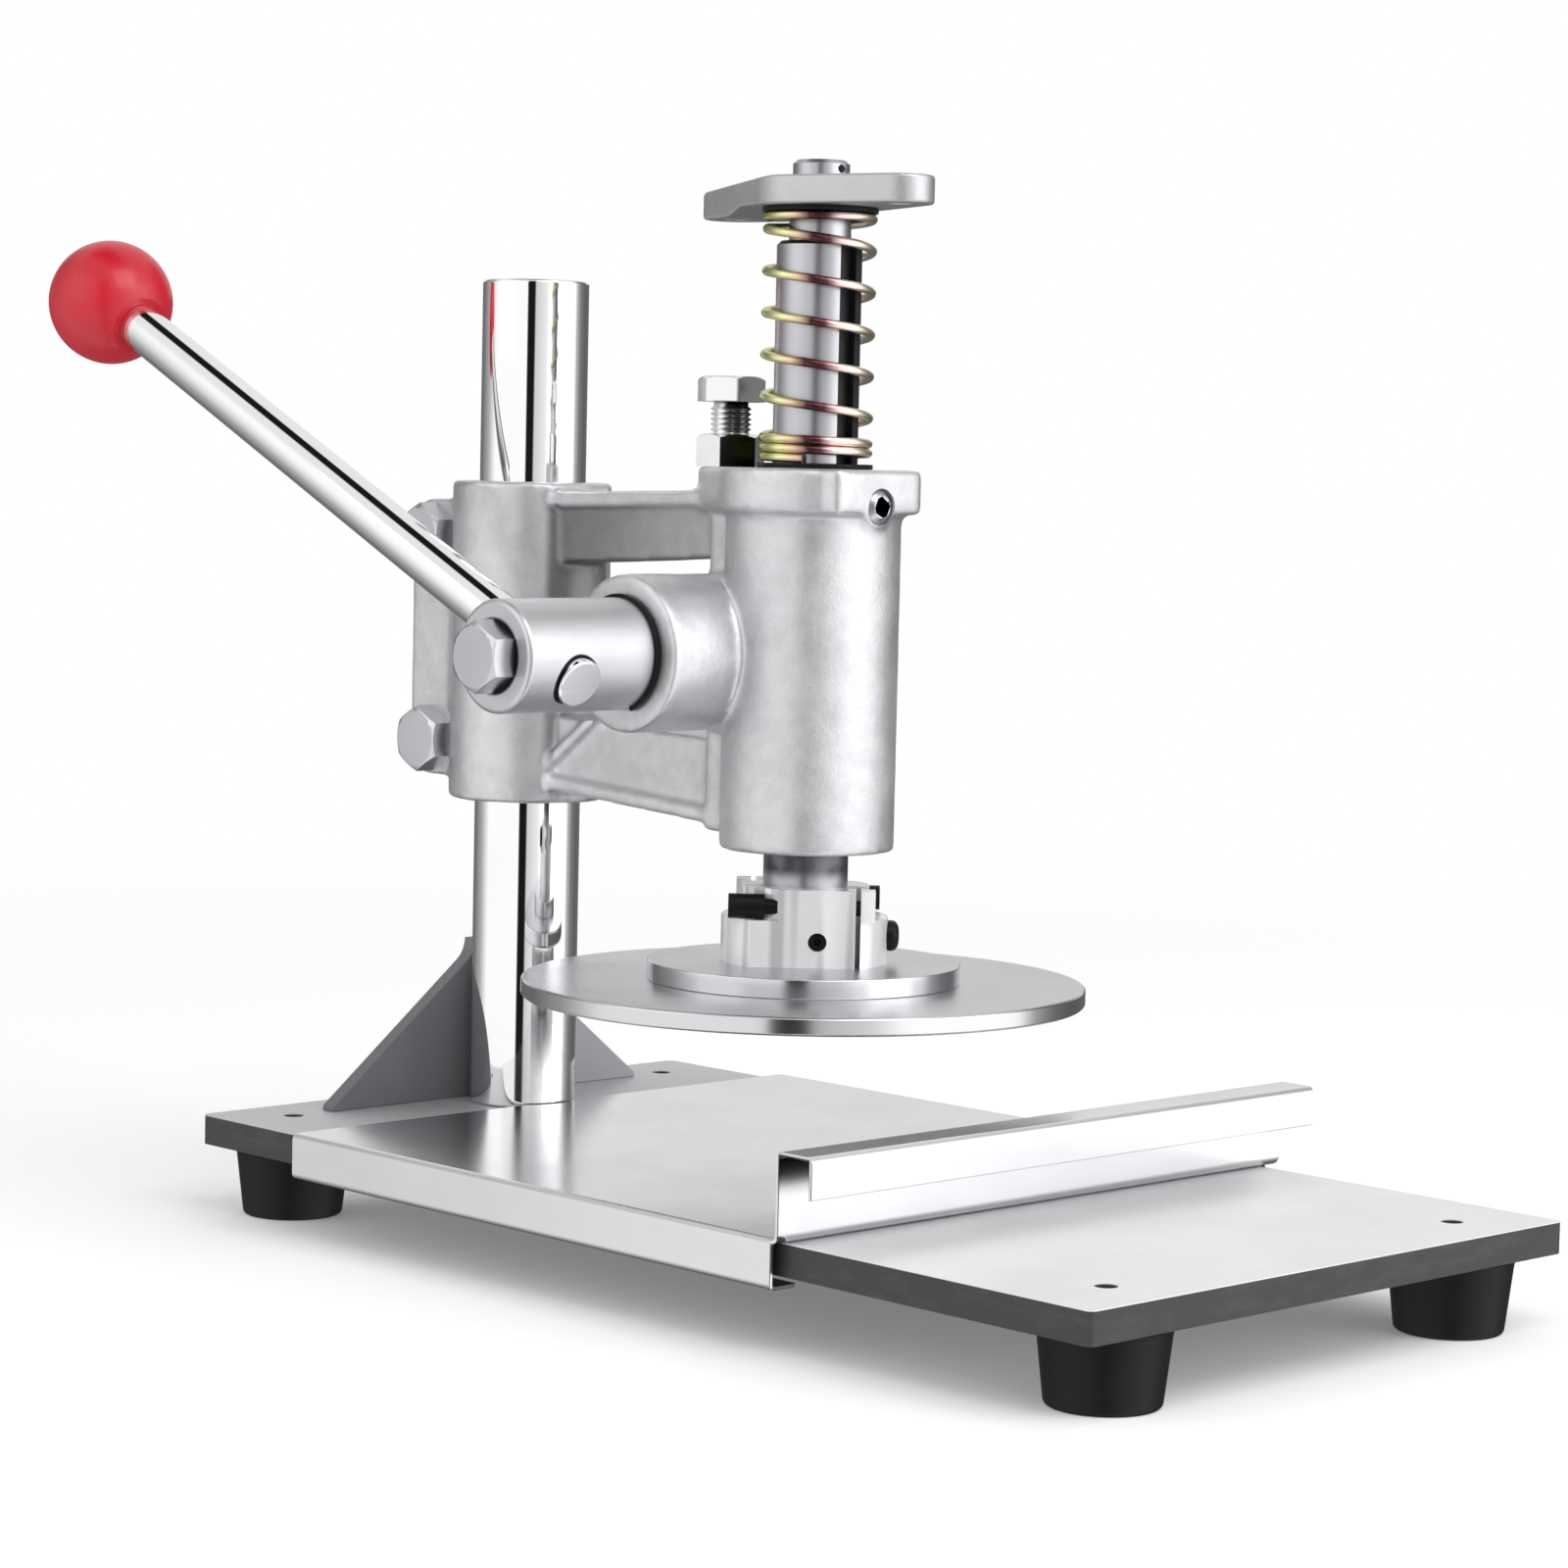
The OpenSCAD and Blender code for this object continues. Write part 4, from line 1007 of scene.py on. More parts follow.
class Workshop:
    """Turns meshes into pieces that stand for CAD nodes."""

    def __init__(self, finishes: Mapping[str, Finish]) -> None:
        """Make one material for each slot of the record.

        Args:
            finishes: The finish of each slot.
        """
        self.slots = {row["node"]: row["material_slot"] for row in frame["record"]["subparts"]}
        self.materials = {slot: finish.build() for slot, finish in finishes.items()}
        self.made: List[str] = []

    def piece(self, mesh: Mesh, *nodes: str, smooth: float = 32.0, level: bool = True) -> bpy.types.Object:
        """Make a piece that replaces CAD nodes.

        Args:
            mesh: Its mesh, in place, which is used up.
            nodes: The nodes it stands for; the first gives its body and finish.
            smooth: Edges with a greater angle stay sharp, in degrees.
            level: Whether large faces keep a level shading up to their rounded edges.

        Returns:
            The new piece.
        """
        first = nodes[0]
        data = mesh_data(mesh, f"{first}_dressed")
        data.shade_smooth()
        data.set_sharp_from_angle(angle=math.radians(smooth))
        slot = self.slots[first]
        data.materials.append(self.materials[slot])
        made = linked(data)
        if level:
            shading = made.modifiers.new("level_shading", "WEIGHTED_NORMAL")
            shading.keep_sharp = True
        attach(made, frame["nodes"][first]["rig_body"])
        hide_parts(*nodes)
        self.made.append(made.name)
        LOG.info("%s: %d faces, finish %s", made.name, len(data.polygons), slot)
        return made

    def softened(self, node: str, width: float, segments: int = 2) -> None:
        """Make a piece of a CAD node's shape with its edges broken.

        Args:
            node: Name of the CAD node.
            width: Width of the rounding in millimetres.
            segments: Faces across the rounding.
        """
        mesh = copy_of(node)
        flatten_facets(mesh)
        break_edges(mesh, width, segments)
        self.piece(mesh, node)

    def carried_over(self, *nodes: str) -> None:
        """Give CAD nodes that stay as they are their finish.

        Args:
            nodes: Names of the CAD nodes.
        """
        for node in nodes:
            data = frame["nodes"][node].data
            data.materials.clear()
            data.materials.append(self.materials[self.slots[node]])
            LOG.info("%s: carried over, finish %s", node, self.slots[node])


@dataclass(frozen=True)
class Thread:
    """The threaded shank of a bolt, drawn as rings, in millimetres."""

    diameter: float = 16.0
    pitch: float = 2.0
    depth: float = 1.2
    crest: Pair = (0.84, 1.16)
    lead: float = 0.8
    plain: float = 1.5
    chamfer: float = 0.3
    overlap: float = 0.3
    head_edge: float = 0.35
    steps: int = 48

    def profile(self, length: float) -> List[Pair]:
        """Draw the shank.

        Args:
            length: From the head's seat down to the end.

        Returns:
            Radius and height of each corner, from the end up to the seat.
        """
        outer = self.diameter / 2
        root = outer - self.depth
        start = self.lead - length
        turns = int((length - self.plain) / self.pitch)
        corners = [(0.0, -length), (root - self.chamfer, -length)]
        for low in (start + i * self.pitch for i in range(turns)):
            corners += [(root, low), *((outer, low + rise) for rise in self.crest)]
        return corners + [(root, start + turns * self.pitch), (root, self.overlap), (0.0, self.overlap)]

    def bolts(self, shop: Workshop, node: str, seats: Sequence[Vector], outwards: Vector) -> None:
        """Give the bolts of a CAD node their threads.

        Args:
            shop: Where the piece is made.
            node: The CAD node, whose heads are kept.
            seats: The middle of the seat of each head, all in one plane.
            outwards: Direction from the shanks to the heads.
        """
        mesh = copy_of(node)
        cut_off(mesh, seats[0] + outwards * 2e-6, outwards)
        flatten_facets(mesh)
        break_edges(mesh, self.head_edge)
        length = seats[0].dot(outwards) - min(corner.dot(outwards) for corner in span(node)[:2])
        for seat in seats:
            add_turned(mesh, self.profile(length / MM), standing(seat, outwards), self.steps)
        shop.piece(mesh, node)


@dataclass
class Stand:
    """Base plate on rubber feet, with the chromed column and its brace."""

    column_d: float = 44.0
    column_edge: float = 1.5
    foot_top_d: float = 47.0
    foot_bottom_d: float = 40.0
    foot_bore_d: float = 17.2
    foot_bore_h: float = 14.0
    foot_rim: Pair = (0.6, 3.0)
    foot_edge: float = 1.6
    plate_edge: float = 0.5
    feet: Tuple[str, ...] = ("front_left_foot", "front_right_foot", "rear_left_foot", "rear_right_foot")

    def build(self, shop: Workshop) -> None:
        """Make the stand's pieces.

        Args:
            shop: Where the pieces are made.
        """
        shop.softened("base_plate", self.plate_edge)
        shop.softened("rear_brace", self.plate_edge)
        self.column(shop)
        for foot in self.feet:
            self.foot(shop, foot)
        shop.carried_over("foot_washers", "foot_screws", "column_screw")

    @staticmethod
    def turned(shop: Workshop, node: str, profile: Sequence[Pair], steps: int, edge: float) -> None:
        """Turn a piece that stands where its CAD node stands, and round its edges.

        Args:
            shop: Where the pieces are made.
            node: Name of the CAD node.
            profile: Radius and height of each corner in millimetres, from axis to axis.
            steps: Steps in a full turn.
            edge: Width of the rounding in millimetres.
        """
        low, _, middle = span(node)
        mesh = bmesh.new()
        add_turned(mesh, profile, Matrix.Translation((middle.x, middle.y, low.z)), steps)
        break_edges(mesh, edge, 3)
        shop.piece(mesh, node)

    def column(self, shop: Workshop) -> None:
        """Turn the column with a rounded upper edge.

        Args:
            shop: Where the pieces are made.
        """
        low, high, _ = span("column")
        length, radius = (high.z - low.z) / MM, self.column_d / 2
        profile = [(0.0, 0.0), (radius, 0.0), (radius, length), (0.0, length)]
        self.turned(shop, "column", profile, steps=160, edge=self.column_edge)

    def foot(self, shop: Workshop, node: str) -> None:
        """Mould one foot with a rounded rim and a recess for its screw.

        Args:
            shop: Where the pieces are made.
            node: Name of the CAD node.
        """
        low, high, _ = span(node)
        height = (high.z - low.z) / MM
        bore, top, bottom = self.foot_bore_d / 2, self.foot_top_d / 2, self.foot_bottom_d / 2
        inset, drop = self.foot_rim
        profile = [
            (0.0, self.foot_bore_h), (bore, self.foot_bore_h), (bore, 0.0), (bottom, 0.0),
            (top - inset, height - drop), (top, height), (0.0, height),
        ]
        self.turned(shop, node, profile, steps=96, edge=self.foot_edge)


@dataclass
class Head:
    """The casting with its clamp, the guide screw, the stop and the return spring."""

    column_y: float = 168.0
    sleeve: Pair = (168.0, 300.0)
    column_bore_r: float = 22.05
    ram_bore_r: float = 16.55
    housing: Pair = (160.5, 308.0)
    pinion: Pair = (33.0, 236.0)
    pinion_bore_r: float = 21.55
    tail_bore_r: float = 16.05
    boss: Pair = (-68.5, 46.0)
    gear_end: float = 15.0
    clamp_y: float = 204.1
    clamp_zs: Pair = (191.5, 276.5)
    clamp_reach: float = 50.0
    clamp_hole_r: float = 8.1
    spot_reach: float = 60.0
    spot_r: float = 15.8
    ear_half: float = 22.0
    ear_rear: float = 220.0
    ear_heights: Pair = (176.0, 292.0)
    ear_corner: float = 12.0
    slit_half: float = 2.0
    slit_start: float = 15.0
    slit_plug: float = 32.0
    guide_z: float = 294.0
    pad_y: float = -37.0
    guide_seat_y: float = -33.0
    guide_plug_y: float = -16.0
    guide_hole_y: float = -5.0
    guide_hole_r: float = 4.1
    guide_counterbore_r: float = 7.1
    guide_plug_r: float = 8.0
    stop_y: float = 48.0
    stop_hole_z: float = 283.0
    stop_hole_r: float = 8.05
    stop_head_h: float = 10.0
    bolt_plug_r: float = 9.0
    plug_over: float = 1.0
    overhang: float = 5.0
    voxel: float = 1.35
    smoothing: int = 7
    lumps: float = 75.0
    lump: float = 0.16
    spring_r: float = 20.35
    wire_r: float = 1.75
    wire_sides: int = 18
    spring_start: float = 212.0
    spring_steps: int = 56
    spring_sections: Tuple[Pair, ...] = ((2.21, 8.0), (5.04, 0.0), (0.5, 4.0), (0.5, 0.0))
    spring_keep: float = 40.0 / 96.0

    def build(self, shop: Workshop) -> None:
        """Make the head's pieces.

        Args:
            shop: Where the pieces are made.
        """
        self.casting(shop)
        self.spring(shop)
        clamp_seats = [at(-self.ear_half, self.clamp_y, z) for z in self.clamp_zs]
        stop_seat = at(0, self.stop_y, span("stop_bolt")[1].z / MM - self.stop_head_h)
        Thread().bolts(shop, "clamp_bolts", clamp_seats, Vector((-1.0, 0.0, 0.0)))
        Thread().bolts(shop, "stop_bolt", [stop_seat], UP)
        for node, width in (("clamp_washers", 0.3), ("clamp_nuts", 0.35), ("guide_screw", 0.12),
                            ("stop_nut", 0.35), ("lower_spring_seat", 0.3)):
            shop.softened(node, width)

    def casting(self, shop: Workshop) -> None:
        """Cast the head with soft fillets, then bore and mill it to crisp edges.

        Args:
            shop: Where the pieces are made.
        """
        shape = linked(mesh_data(self._plugged(), "casting_pattern"))
        modifier = shape.modifiers.new("fuse", "REMESH")
        modifier.mode = "VOXEL"
        modifier.voxel_size = self.voxel * MM
        mesh = with_modifiers(shape)
        for _ in range(self.smoothing):
            bmesh.ops.smooth_vert(
                mesh, verts=mesh.verts, factor=0.5, use_axis_x=True, use_axis_y=True, use_axis_z=True,
            )
        mesh.normal_update()
        for vert in mesh.verts:
            vert.co += vert.normal * (noise.noise(vert.co * self.lumps) * self.lump * MM)
        shop.piece(cut(mesh, self._cutters()), "head_casting", smooth=38.0, level=False)

    @staticmethod
    def _upright(y: float, low: float, high: float, radius: float) -> Bar:
        """Give the ends and the radius of an upright bar in the middle of the casting."""
        return at(0, y, low), at(0, y, high), radius

    @staticmethod
    def _sideways(y: float, z: float, left: float, right: float, radius: float) -> Bar:
        """Give the ends and the radius of a bar from left to right."""
        return at(left, y, z), at(right, y, z), radius

    def _guide(self, near: float, far: float, radius: float) -> Bar:
        """Give the ends and the radius of a bar along the guide screw."""
        return at(0, near, self.guide_z), at(0, far, self.guide_z), radius

    def _plugged(self) -> Mesh:
        """Fill the CAD casting's bores, so that its outside can be smoothed whole.

        Returns:
            The casting with overlapping plugs.
        """
        mesh = copy_of("head_casting")
        over, slit, half = self.plug_over, self.slit_half + self.plug_over, self.ear_half
        for bar in (
            self._upright(self.column_y, *self.sleeve, self.column_bore_r + over),
            self._upright(0, *self.housing, self.ram_bore_r + over),
            self._sideways(*self.pinion, *self.boss, self.pinion_bore_r + over),
            self._upright(self.stop_y, self.stop_hole_z, self.housing[1], self.bolt_plug_r),
            self._guide(self.pad_y, self.guide_plug_y, self.guide_plug_r),
            *(self._sideways(self.clamp_y, z, -half, half, self.bolt_plug_r) for z in self.clamp_zs),
        ):
            add_bar(mesh, *bar)
        front = self.column_y + self.slit_start
        low, high = self.sleeve
        add_block(mesh, at(-slit, front, low), at(slit, self.column_y + self.slit_plug, high))
        low, high = self.ear_heights[0] + self.ear_corner, self.ear_heights[1] - self.ear_corner
        add_block(mesh, at(-slit, front, low), at(slit, self.ear_rear, high))
        return mesh

    def _cutters(self) -> List[Mesh]:
        """Make the bodies that the bores, spot faces and the clamp slit are cut with.

        Returns:
            One closed mesh for each cut.
        """
        past = self.overhang
        low, high = self.sleeve[0] - past, self.sleeve[1] + past
        top, pad = self.housing[1] + past, self.pad_y - past
        bars = [
            self._upright(self.column_y, low, high, self.column_bore_r),
            self._upright(0, self.housing[0] - past, top, self.ram_bore_r),
            self._sideways(*self.pinion, self.boss[0] - past, self.gear_end, self.pinion_bore_r),
            self._sideways(*self.pinion, 0, self.boss[1] + past, self.tail_bore_r),
            self._upright(self.stop_y, self.stop_hole_z, top, self.stop_hole_r),
            self._guide(pad, self.guide_hole_y, self.guide_hole_r),
            self._guide(pad, self.guide_seat_y, self.guide_counterbore_r),
        ]
        reach = self.clamp_reach
        for z in self.clamp_zs:
            bars.append(self._sideways(self.clamp_y, z, -reach, reach, self.clamp_hole_r))
            for side in (-1, 1):
                face, away = side * self.ear_half, side * self.spot_reach
                bars.append(self._sideways(self.clamp_y, z, face, away, self.spot_r))
        cutters = [bmesh.new() for _ in range(len(bars) + 1)]
        for cutter, bar in zip(cutters, bars):
            add_bar(cutter, *bar)
        near, far = self.column_y + self.slit_start, self.ear_rear + past
        add_block(cutters[-1], at(-self.slit_half, near, low), at(self.slit_half, far, high))
        return cutters

    def spring(self, shop: Workshop) -> None:
        """Wind the return spring, left handed, with closed ends.

        Args:
            shop: Where the pieces are made.
        """
        low, high, middle = span("return_spring")
        free_rise = (high.z - low.z) / MM - 2 * self.wire_r - sum(rise for _, rise in self.spring_sections)
        mesh = bmesh.new()
        angle = math.radians(self.spring_start)
        out = Vector((math.cos(angle), math.sin(angle), 0.0))
        centre = Vector((middle.x, middle.y, low.z + self.wire_r * MM))
        place = standing(centre + out * self.spring_r * MM, out.cross(UP))
        bmesh.ops.create_circle(
            mesh, cap_ends=True, segments=self.wire_sides, radius=self.wire_r * MM, matrix=place,
        )
        ring: List[bmesh.types.BMElem] = [*mesh.edges, *mesh.verts]
        for turns, rise in self.spring_sections:
            steps = int(turns * self.spring_steps)
            climb = rise or (free_rise if turns > 1 else 0.0)
            made = bmesh.ops.spin(
                mesh, geom=ring, cent=centre, axis=-UP, angle=turns * math.tau, steps=steps,
                dvec=UP * (climb * MM / steps),
            )
            ring = made["geom_last"]
        bmesh.ops.edgeloop_fill(mesh, edges=[e for e in ring if isinstance(e, bmesh.types.BMEdge)])
        bmesh.ops.remove_doubles(mesh, verts=mesh.verts, dist=1e-7)
        bmesh.ops.recalc_face_normals(mesh, faces=mesh.faces)
        piece = shop.piece(mesh, "return_spring", smooth=50.0, level=False)
        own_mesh(piece)


@dataclass
class RamSet:
    """The ram with its cap flange, collar, disc and press plate."""

    edges: Tuple[Tuple[str, float, int], ...] = (
        ("ram", 0.4, 2), ("cap_flange", 1.3, 3), ("cap_pin", 0.4, 2), ("upper_spring_seat", 0.3, 2),
        ("clamp_collar", 0.45, 2), ("collar_screws", 0.45, 2), ("collar_set_screw", 0.3, 2),
        ("collar_side_screw", 0.3, 2), ("backing_disc", 0.6, 3), ("press_plate", 0.5, 2),
    )

    def build(self, shop: Workshop) -> None:
        """Make the ram's pieces.

        Args:
            shop: Where the pieces are made.
        """
        for node, width, segments in self.edges:
            shop.softened(node, width, segments)
        shop.carried_over("plate_screws")


@dataclass
class LeverSet:
    """The pinion shaft with its hub, the lever rod and the ball knob."""

    lever_x: float = -107.0
    pinion: Pair = (33.0, 236.0)
    rise: float = 25.3
    rod_d: float = 19.0
    rod_foot: float = 23.0
    hub_end: float = 25.0
    hub_rim_r: float = 15.0
    hub_edge: float = 2.2
    shaft_edge: float = 0.3
    lever_l: float = 317.0
    ball_d: float = 52.0
    knob_flat: float = 3.0
    knob_edge: float = 0.8
    stud_d: float = 12.0
    stud_l: float = 24.0

    @property
    def axis(self) -> Matrix:
        """The matrix that carries +Z to the lever."""
        angle = math.radians(self.rise)
        return standing(at(self.lever_x, *self.pinion), Vector((0.0, math.cos(angle), math.sin(angle))))

    def build(self, shop: Workshop) -> None:
        """Make the lever's pieces.

        Args:
            shop: Where the pieces are made.
        """
        for node, width in (("pinion_clip", 0.4), ("pinion_end_washer", 0.4), ("pinion_end_screw", 0.3),
                            ("lever_lock_bolt", 0.4)):
            shop.softened(node, width)
        self.hub(shop)
        self.rod(shop)
        self.ball(shop)
        shop.carried_over("knob_insert")

    def hub(self, shop: Workshop) -> None:
        """Round the hub's end and break the shaft's other edges.

        Args:
            shop: Where the pieces are made.
        """
        mesh = copy_of("pinion_shaft")
        flatten_facets(mesh)
        centre = at(self.lever_x, *self.pinion)
        end, inner = centre.x - self.hub_end * MM, self.hub_rim_r * MM
        rim = [
            e for e in mesh.edges
            if all(abs(v.co.x - end) < 1e-5 and (v.co - centre).yz.length > inner for v in e.verts)
        ]
        bevel(mesh, rim, self.hub_edge, 4)
        break_edges(mesh, self.shaft_edge, 2, 50.0)
        shop.piece(mesh, "pinion_shaft")

    def rod(self, shop: Workshop) -> None:
        """Turn the lever rod with its stud inside the knob.

        Args:
            shop: Where the pieces are made.
        """
        neck = self.lever_l - self.ball_d / 2 + self.knob_flat
        r, stud = self.rod_d / 2, self.stud_d / 2
        mesh = bmesh.new()
        profile = [
            (0.0, -self.rod_foot), (r, -self.rod_foot), (r, neck), (stud, neck), (stud, neck + self.stud_l),
            (0.0, neck + self.stud_l),
        ]
        add_turned(mesh, profile, self.axis, 128)
        break_edges(mesh, self.knob_edge, 3)
        shop.piece(mesh, "lever_rod")

    def ball(self, shop: Workshop) -> None:
        """Mould the ball knob with a small flat at its neck.

        Args:
            shop: Where the pieces are made.
        """
        mesh = bmesh.new()
        radius = self.ball_d / 2
        bmesh.ops.create_uvsphere(mesh, u_segments=96, v_segments=64, radius=radius * MM)
        cut_off(mesh, Vector((0.0, 0.0, -(radius - self.knob_flat) * MM)), UP)
        break_edges(mesh, self.knob_edge, 3)
        place = self.axis @ Matrix.Translation((0.0, 0.0, self.lever_l * MM))
        bmesh.ops.transform(mesh, matrix=place, verts=mesh.verts)
        shop.piece(mesh, "ball_knob")


@dataclass
class Tray:
    """The folded sheet that slides on the base plate."""

    sheet_t: float = 1.5
    sheet_edge: float = 0.25
    half_w: float = 134.5
    wall_half_w: float = 136.0
    hook_end: float = 122.0
    hook_z: float = 23.5
    deck_top: float = 41.8
    wall_y: float = -130.0
    fold_y: float = -125.0
    rear_y: float = 149.0
    wall_top: float = 73.3
    grip_depth: float = 16.0
    lip_h: float = 15.0
    bend_r: float = 2.6
    notch_y: float = 168.0
    notch_r: float = 24.0
    notch_heights: Pair = (20.0, 60.0)

    def build(self, shop: Workshop) -> None:
        """Fold the tray from its deck with hooked sides and its front wall with a grip.

        Args:
            shop: Where the pieces are made.
        """
        across = [
            (-self.hook_end, self.hook_z), (-self.half_w, self.hook_z), (-self.half_w, self.deck_top),
            (self.half_w, self.deck_top), (self.half_w, self.hook_z), (self.hook_end, self.hook_z),
        ]
        length = at(0, self.rear_y, 0) - at(0, self.fold_y, 0)
        deck = self._folded([at(x, self.fold_y, z) for x, z in across], length)
        notch = bmesh.new()
        low, high = self.notch_heights
        add_bar(notch, at(0, self.notch_y, low), at(0, self.notch_y, high), self.notch_r, 128)
        mesh = cut(deck, [notch])
        grip_y, inner_y = self.wall_y - self.grip_depth, self.wall_y + self.sheet_t
        down = [
            (grip_y, self.wall_top - self.lip_h), (grip_y, self.wall_top), (inner_y, self.wall_top),
            (inner_y, self.deck_top), (self.fold_y, self.deck_top),
        ]
        half = self.wall_half_w
        wall = self._folded([at(-half, y, z) for y, z in down], at(2 * half, 0, 0) - at(0, 0, 0))
        data = mesh_data(wall, "tray_wall")
        mesh.from_mesh(data)
        bpy.data.meshes.remove(data)
        shop.piece(mesh, "slide_tray")

    def _folded(self, corners: Sequence[Vector], along: Vector) -> Mesh:
        """Fold a strip of sheet.

        Args:
            corners: The corners of its section, on the outside of the sheet.
            along: How far the section is drawn out.

        Returns:
            The folded sheet with round bends and its thickness.
        """
        mesh = bmesh.new()
        verts = [mesh.verts.new(corner) for corner in corners]
        edges = [mesh.edges.new(pair) for pair in zip(verts, verts[1:])]
        drawn = bmesh.ops.extrude_edge_only(mesh, edges=edges)
        far = [v for v in drawn["geom"] if isinstance(v, bmesh.types.BMVert)]
        bmesh.ops.translate(mesh, vec=along, verts=far)
        bevel(mesh, [e for e in mesh.edges if len(e.link_faces) == 2], self.bend_r, 6)
        bmesh.ops.recalc_face_normals(mesh, faces=mesh.faces)
        bmesh.ops.solidify(mesh, geom=mesh.faces, thickness=self.sheet_t * MM)
        bmesh.ops.recalc_face_normals(mesh, faces=mesh.faces)
        break_edges(mesh, self.sheet_edge, 1, 60.0)
        return mesh


class Softbox(Enum):
    """Area lights: bearing from the camera, height and size in metres, distance and power in watts."""

    KEY = (38.0, 1.75, 1.3, 1.25, 13.0)
    SIDE = (66.0, 0.75, 1.1, 1.6, 4.0)
    FILL = (-62.0, 0.95, 1.2, 1.6, 2.0)


@dataclass
class Studio:
    """Camera at the photograph's angle, pale floor and soft light."""

    eye: Triple = (-1092.84, -1122.43, 308.84)
    yaw: float = 0.7662
    pitch: float = 0.0785
    roll: float = 0.0224
    focal_px: float = 4125.67
    image_px: float = 1600.0
    sensor: float = 36.0
    clip: Pair = (0.05, 100.0)
    aim: Triple = (0.0, 60.0, 180.0)
    floor_size: float = 30.0
    walls: Tuple[Pair, ...] = (
        (-180.0, 0.16), (-140.0, 0.17), (-112.0, 0.42), (-98.0, 0.75), (-88.0, 1.05), (-14.0, 1.05),
        (-12.5, 0.01), (2.5, 0.01), (4.5, 0.65), (28.0, 0.9), (42.0, 1.45), (96.0, 1.45), (106.0, 0.5),
        (120.0, 0.2), (140.0, 0.12), (180.0, 0.16),
    )
    back_wall: float = 0.85
    back_turns: Pair = (140.0, 162.0)
    back_heights: Pair = (0.07, 0.11)
    brightest: float = 1.45
    roof: float = 0.85
    roof_heights: Pair = (0.5, 0.75)
    gap: float = 0.01
    gap_reach: Pair = (0.17, 0.25)
    gap_heights: Pair = (0.82, 0.9)

    def build(self) -> None:
        """Set up the camera, the floor, the lights and the surroundings."""
        bpy.context.scene.view_settings.view_transform = "Standard"
        self.camera()
        self.floor()
        for box in Softbox:
            self.light(box)
        self.surroundings()

    @property
    def bearing(self) -> float:
        """The camera's bearing from the ram, in radians."""
        return math.atan2(self.eye[1], self.eye[0])

    def camera(self) -> None:
        """Place the camera where the photograph was taken from."""
        flat = math.cos(self.pitch)
        forward = Vector((math.sin(self.yaw) * flat, math.cos(self.yaw) * flat, -math.sin(self.pitch)))
        level = forward.cross(UP).normalized()
        upright = level.cross(forward)
        right = level * math.cos(self.roll) + upright * math.sin(self.roll)
        up = upright * math.cos(self.roll) - level * math.sin(self.roll)
        data = bpy.data.cameras.new("camera")
        data.sensor_width = self.sensor
        data.lens = self.focal_px / self.image_px * self.sensor
        data.clip_start, data.clip_end = self.clip
        made = linked(data)
        turn = Matrix((right, up, -forward)).transposed().to_4x4()
        made.matrix_world = Matrix.Translation(at(*self.eye)) @ turn
        bpy.context.scene.camera = made

    def floor(self) -> None:
        """Lay the pale floor."""
        mesh = bmesh.new()
        bmesh.ops.create_grid(mesh, x_segments=2, y_segments=2, size=self.floor_size / 2)
        paper = FloorPaper(
            "floor_paper", (0.95, 0.95, 0.95, 1), (0.93, 0.93, 0.93, 1), roughness=0.6, metallic=0.0,
            settings={"Emission Strength": 1.0, "Specular IOR Level": 0.0},
        )
        data = mesh_data(mesh, "floor")
        data.materials.append(paper.build())
        made = linked(data)
        made.visible_glossy = False

    def light(self, box: Softbox) -> None:
        """Hang one softbox that faces the press.

        Args:
            box: The softbox to hang.
        """
        bearing, height, size, distance, power = box.value
        angle = self.bearing + math.radians(bearing)
        target = at(*self.aim)
        place = target + Vector((math.cos(angle) * distance, math.sin(angle) * distance, height - target.z))
        data = bpy.data.lights.new(box.name.lower(), "AREA")
        data.shape = "SQUARE"
        data.size = size
        data.energy = power
        turn = (target - place).to_track_quat("-Z", "Y").to_matrix().to_4x4()
        linked(data).matrix_world = Matrix.Translation(place) @ turn

    def surroundings(self) -> None:
        """Surround the press with a white tent that is open behind, in front and along its roof."""
        world = bpy.data.worlds.new("tent")
        world.use_nodes = True
        bpy.context.scene.world = world
        graph = Graph(world.node_tree)
        x, y, z = graph.parts(graph.node("ShaderNodeTexCoord", output="Generated"))
        cosine, sine = math.cos(self.bearing), math.sin(self.bearing)
        turn = (y * cosine - x * sine).angle(x * cosine + y * sine) / math.tau + 0.5
        walls = graph.ramp(turn, [(0.5 + angle / 360.0, self._grey(level)) for angle, level in self.walls])
        first, last = (angle / 360.0 for angle in self.back_turns)
        behind = (turn - 0.5).size().ease(first, last) * z.ease(*self.back_heights)
        walls = graph.mix(walls, self._grey(self.back_wall), behind)
        gap = (1.0 - x.size().ease(*self.gap_reach)) * z.ease(*self.gap_heights)
        roof = graph.mix(self._grey(self.roof), self._grey(self.gap), gap)
        tent = graph.mix(walls, roof, z.ease(*self.roof_heights))
        glow = graph.node("ShaderNodeBackground", None, {"Color": tent, "Strength": self.brightest})
        white = graph.node("ShaderNodeBackground", None, {"Color": WHITE, "Strength": 1.0})
        seen = graph.node("ShaderNodeLightPath", output="Is Camera Ray")
        both = graph.node("ShaderNodeMixShader", None, {0: seen, 1: glow, 2: white})
        graph.close("ShaderNodeOutputWorld", both)

    def _grey(self, level: float) -> Colour:
        """Give a grey as a share of the brightest wall."""
        share = level / self.brightest
        return (share, share, share, 1.0)


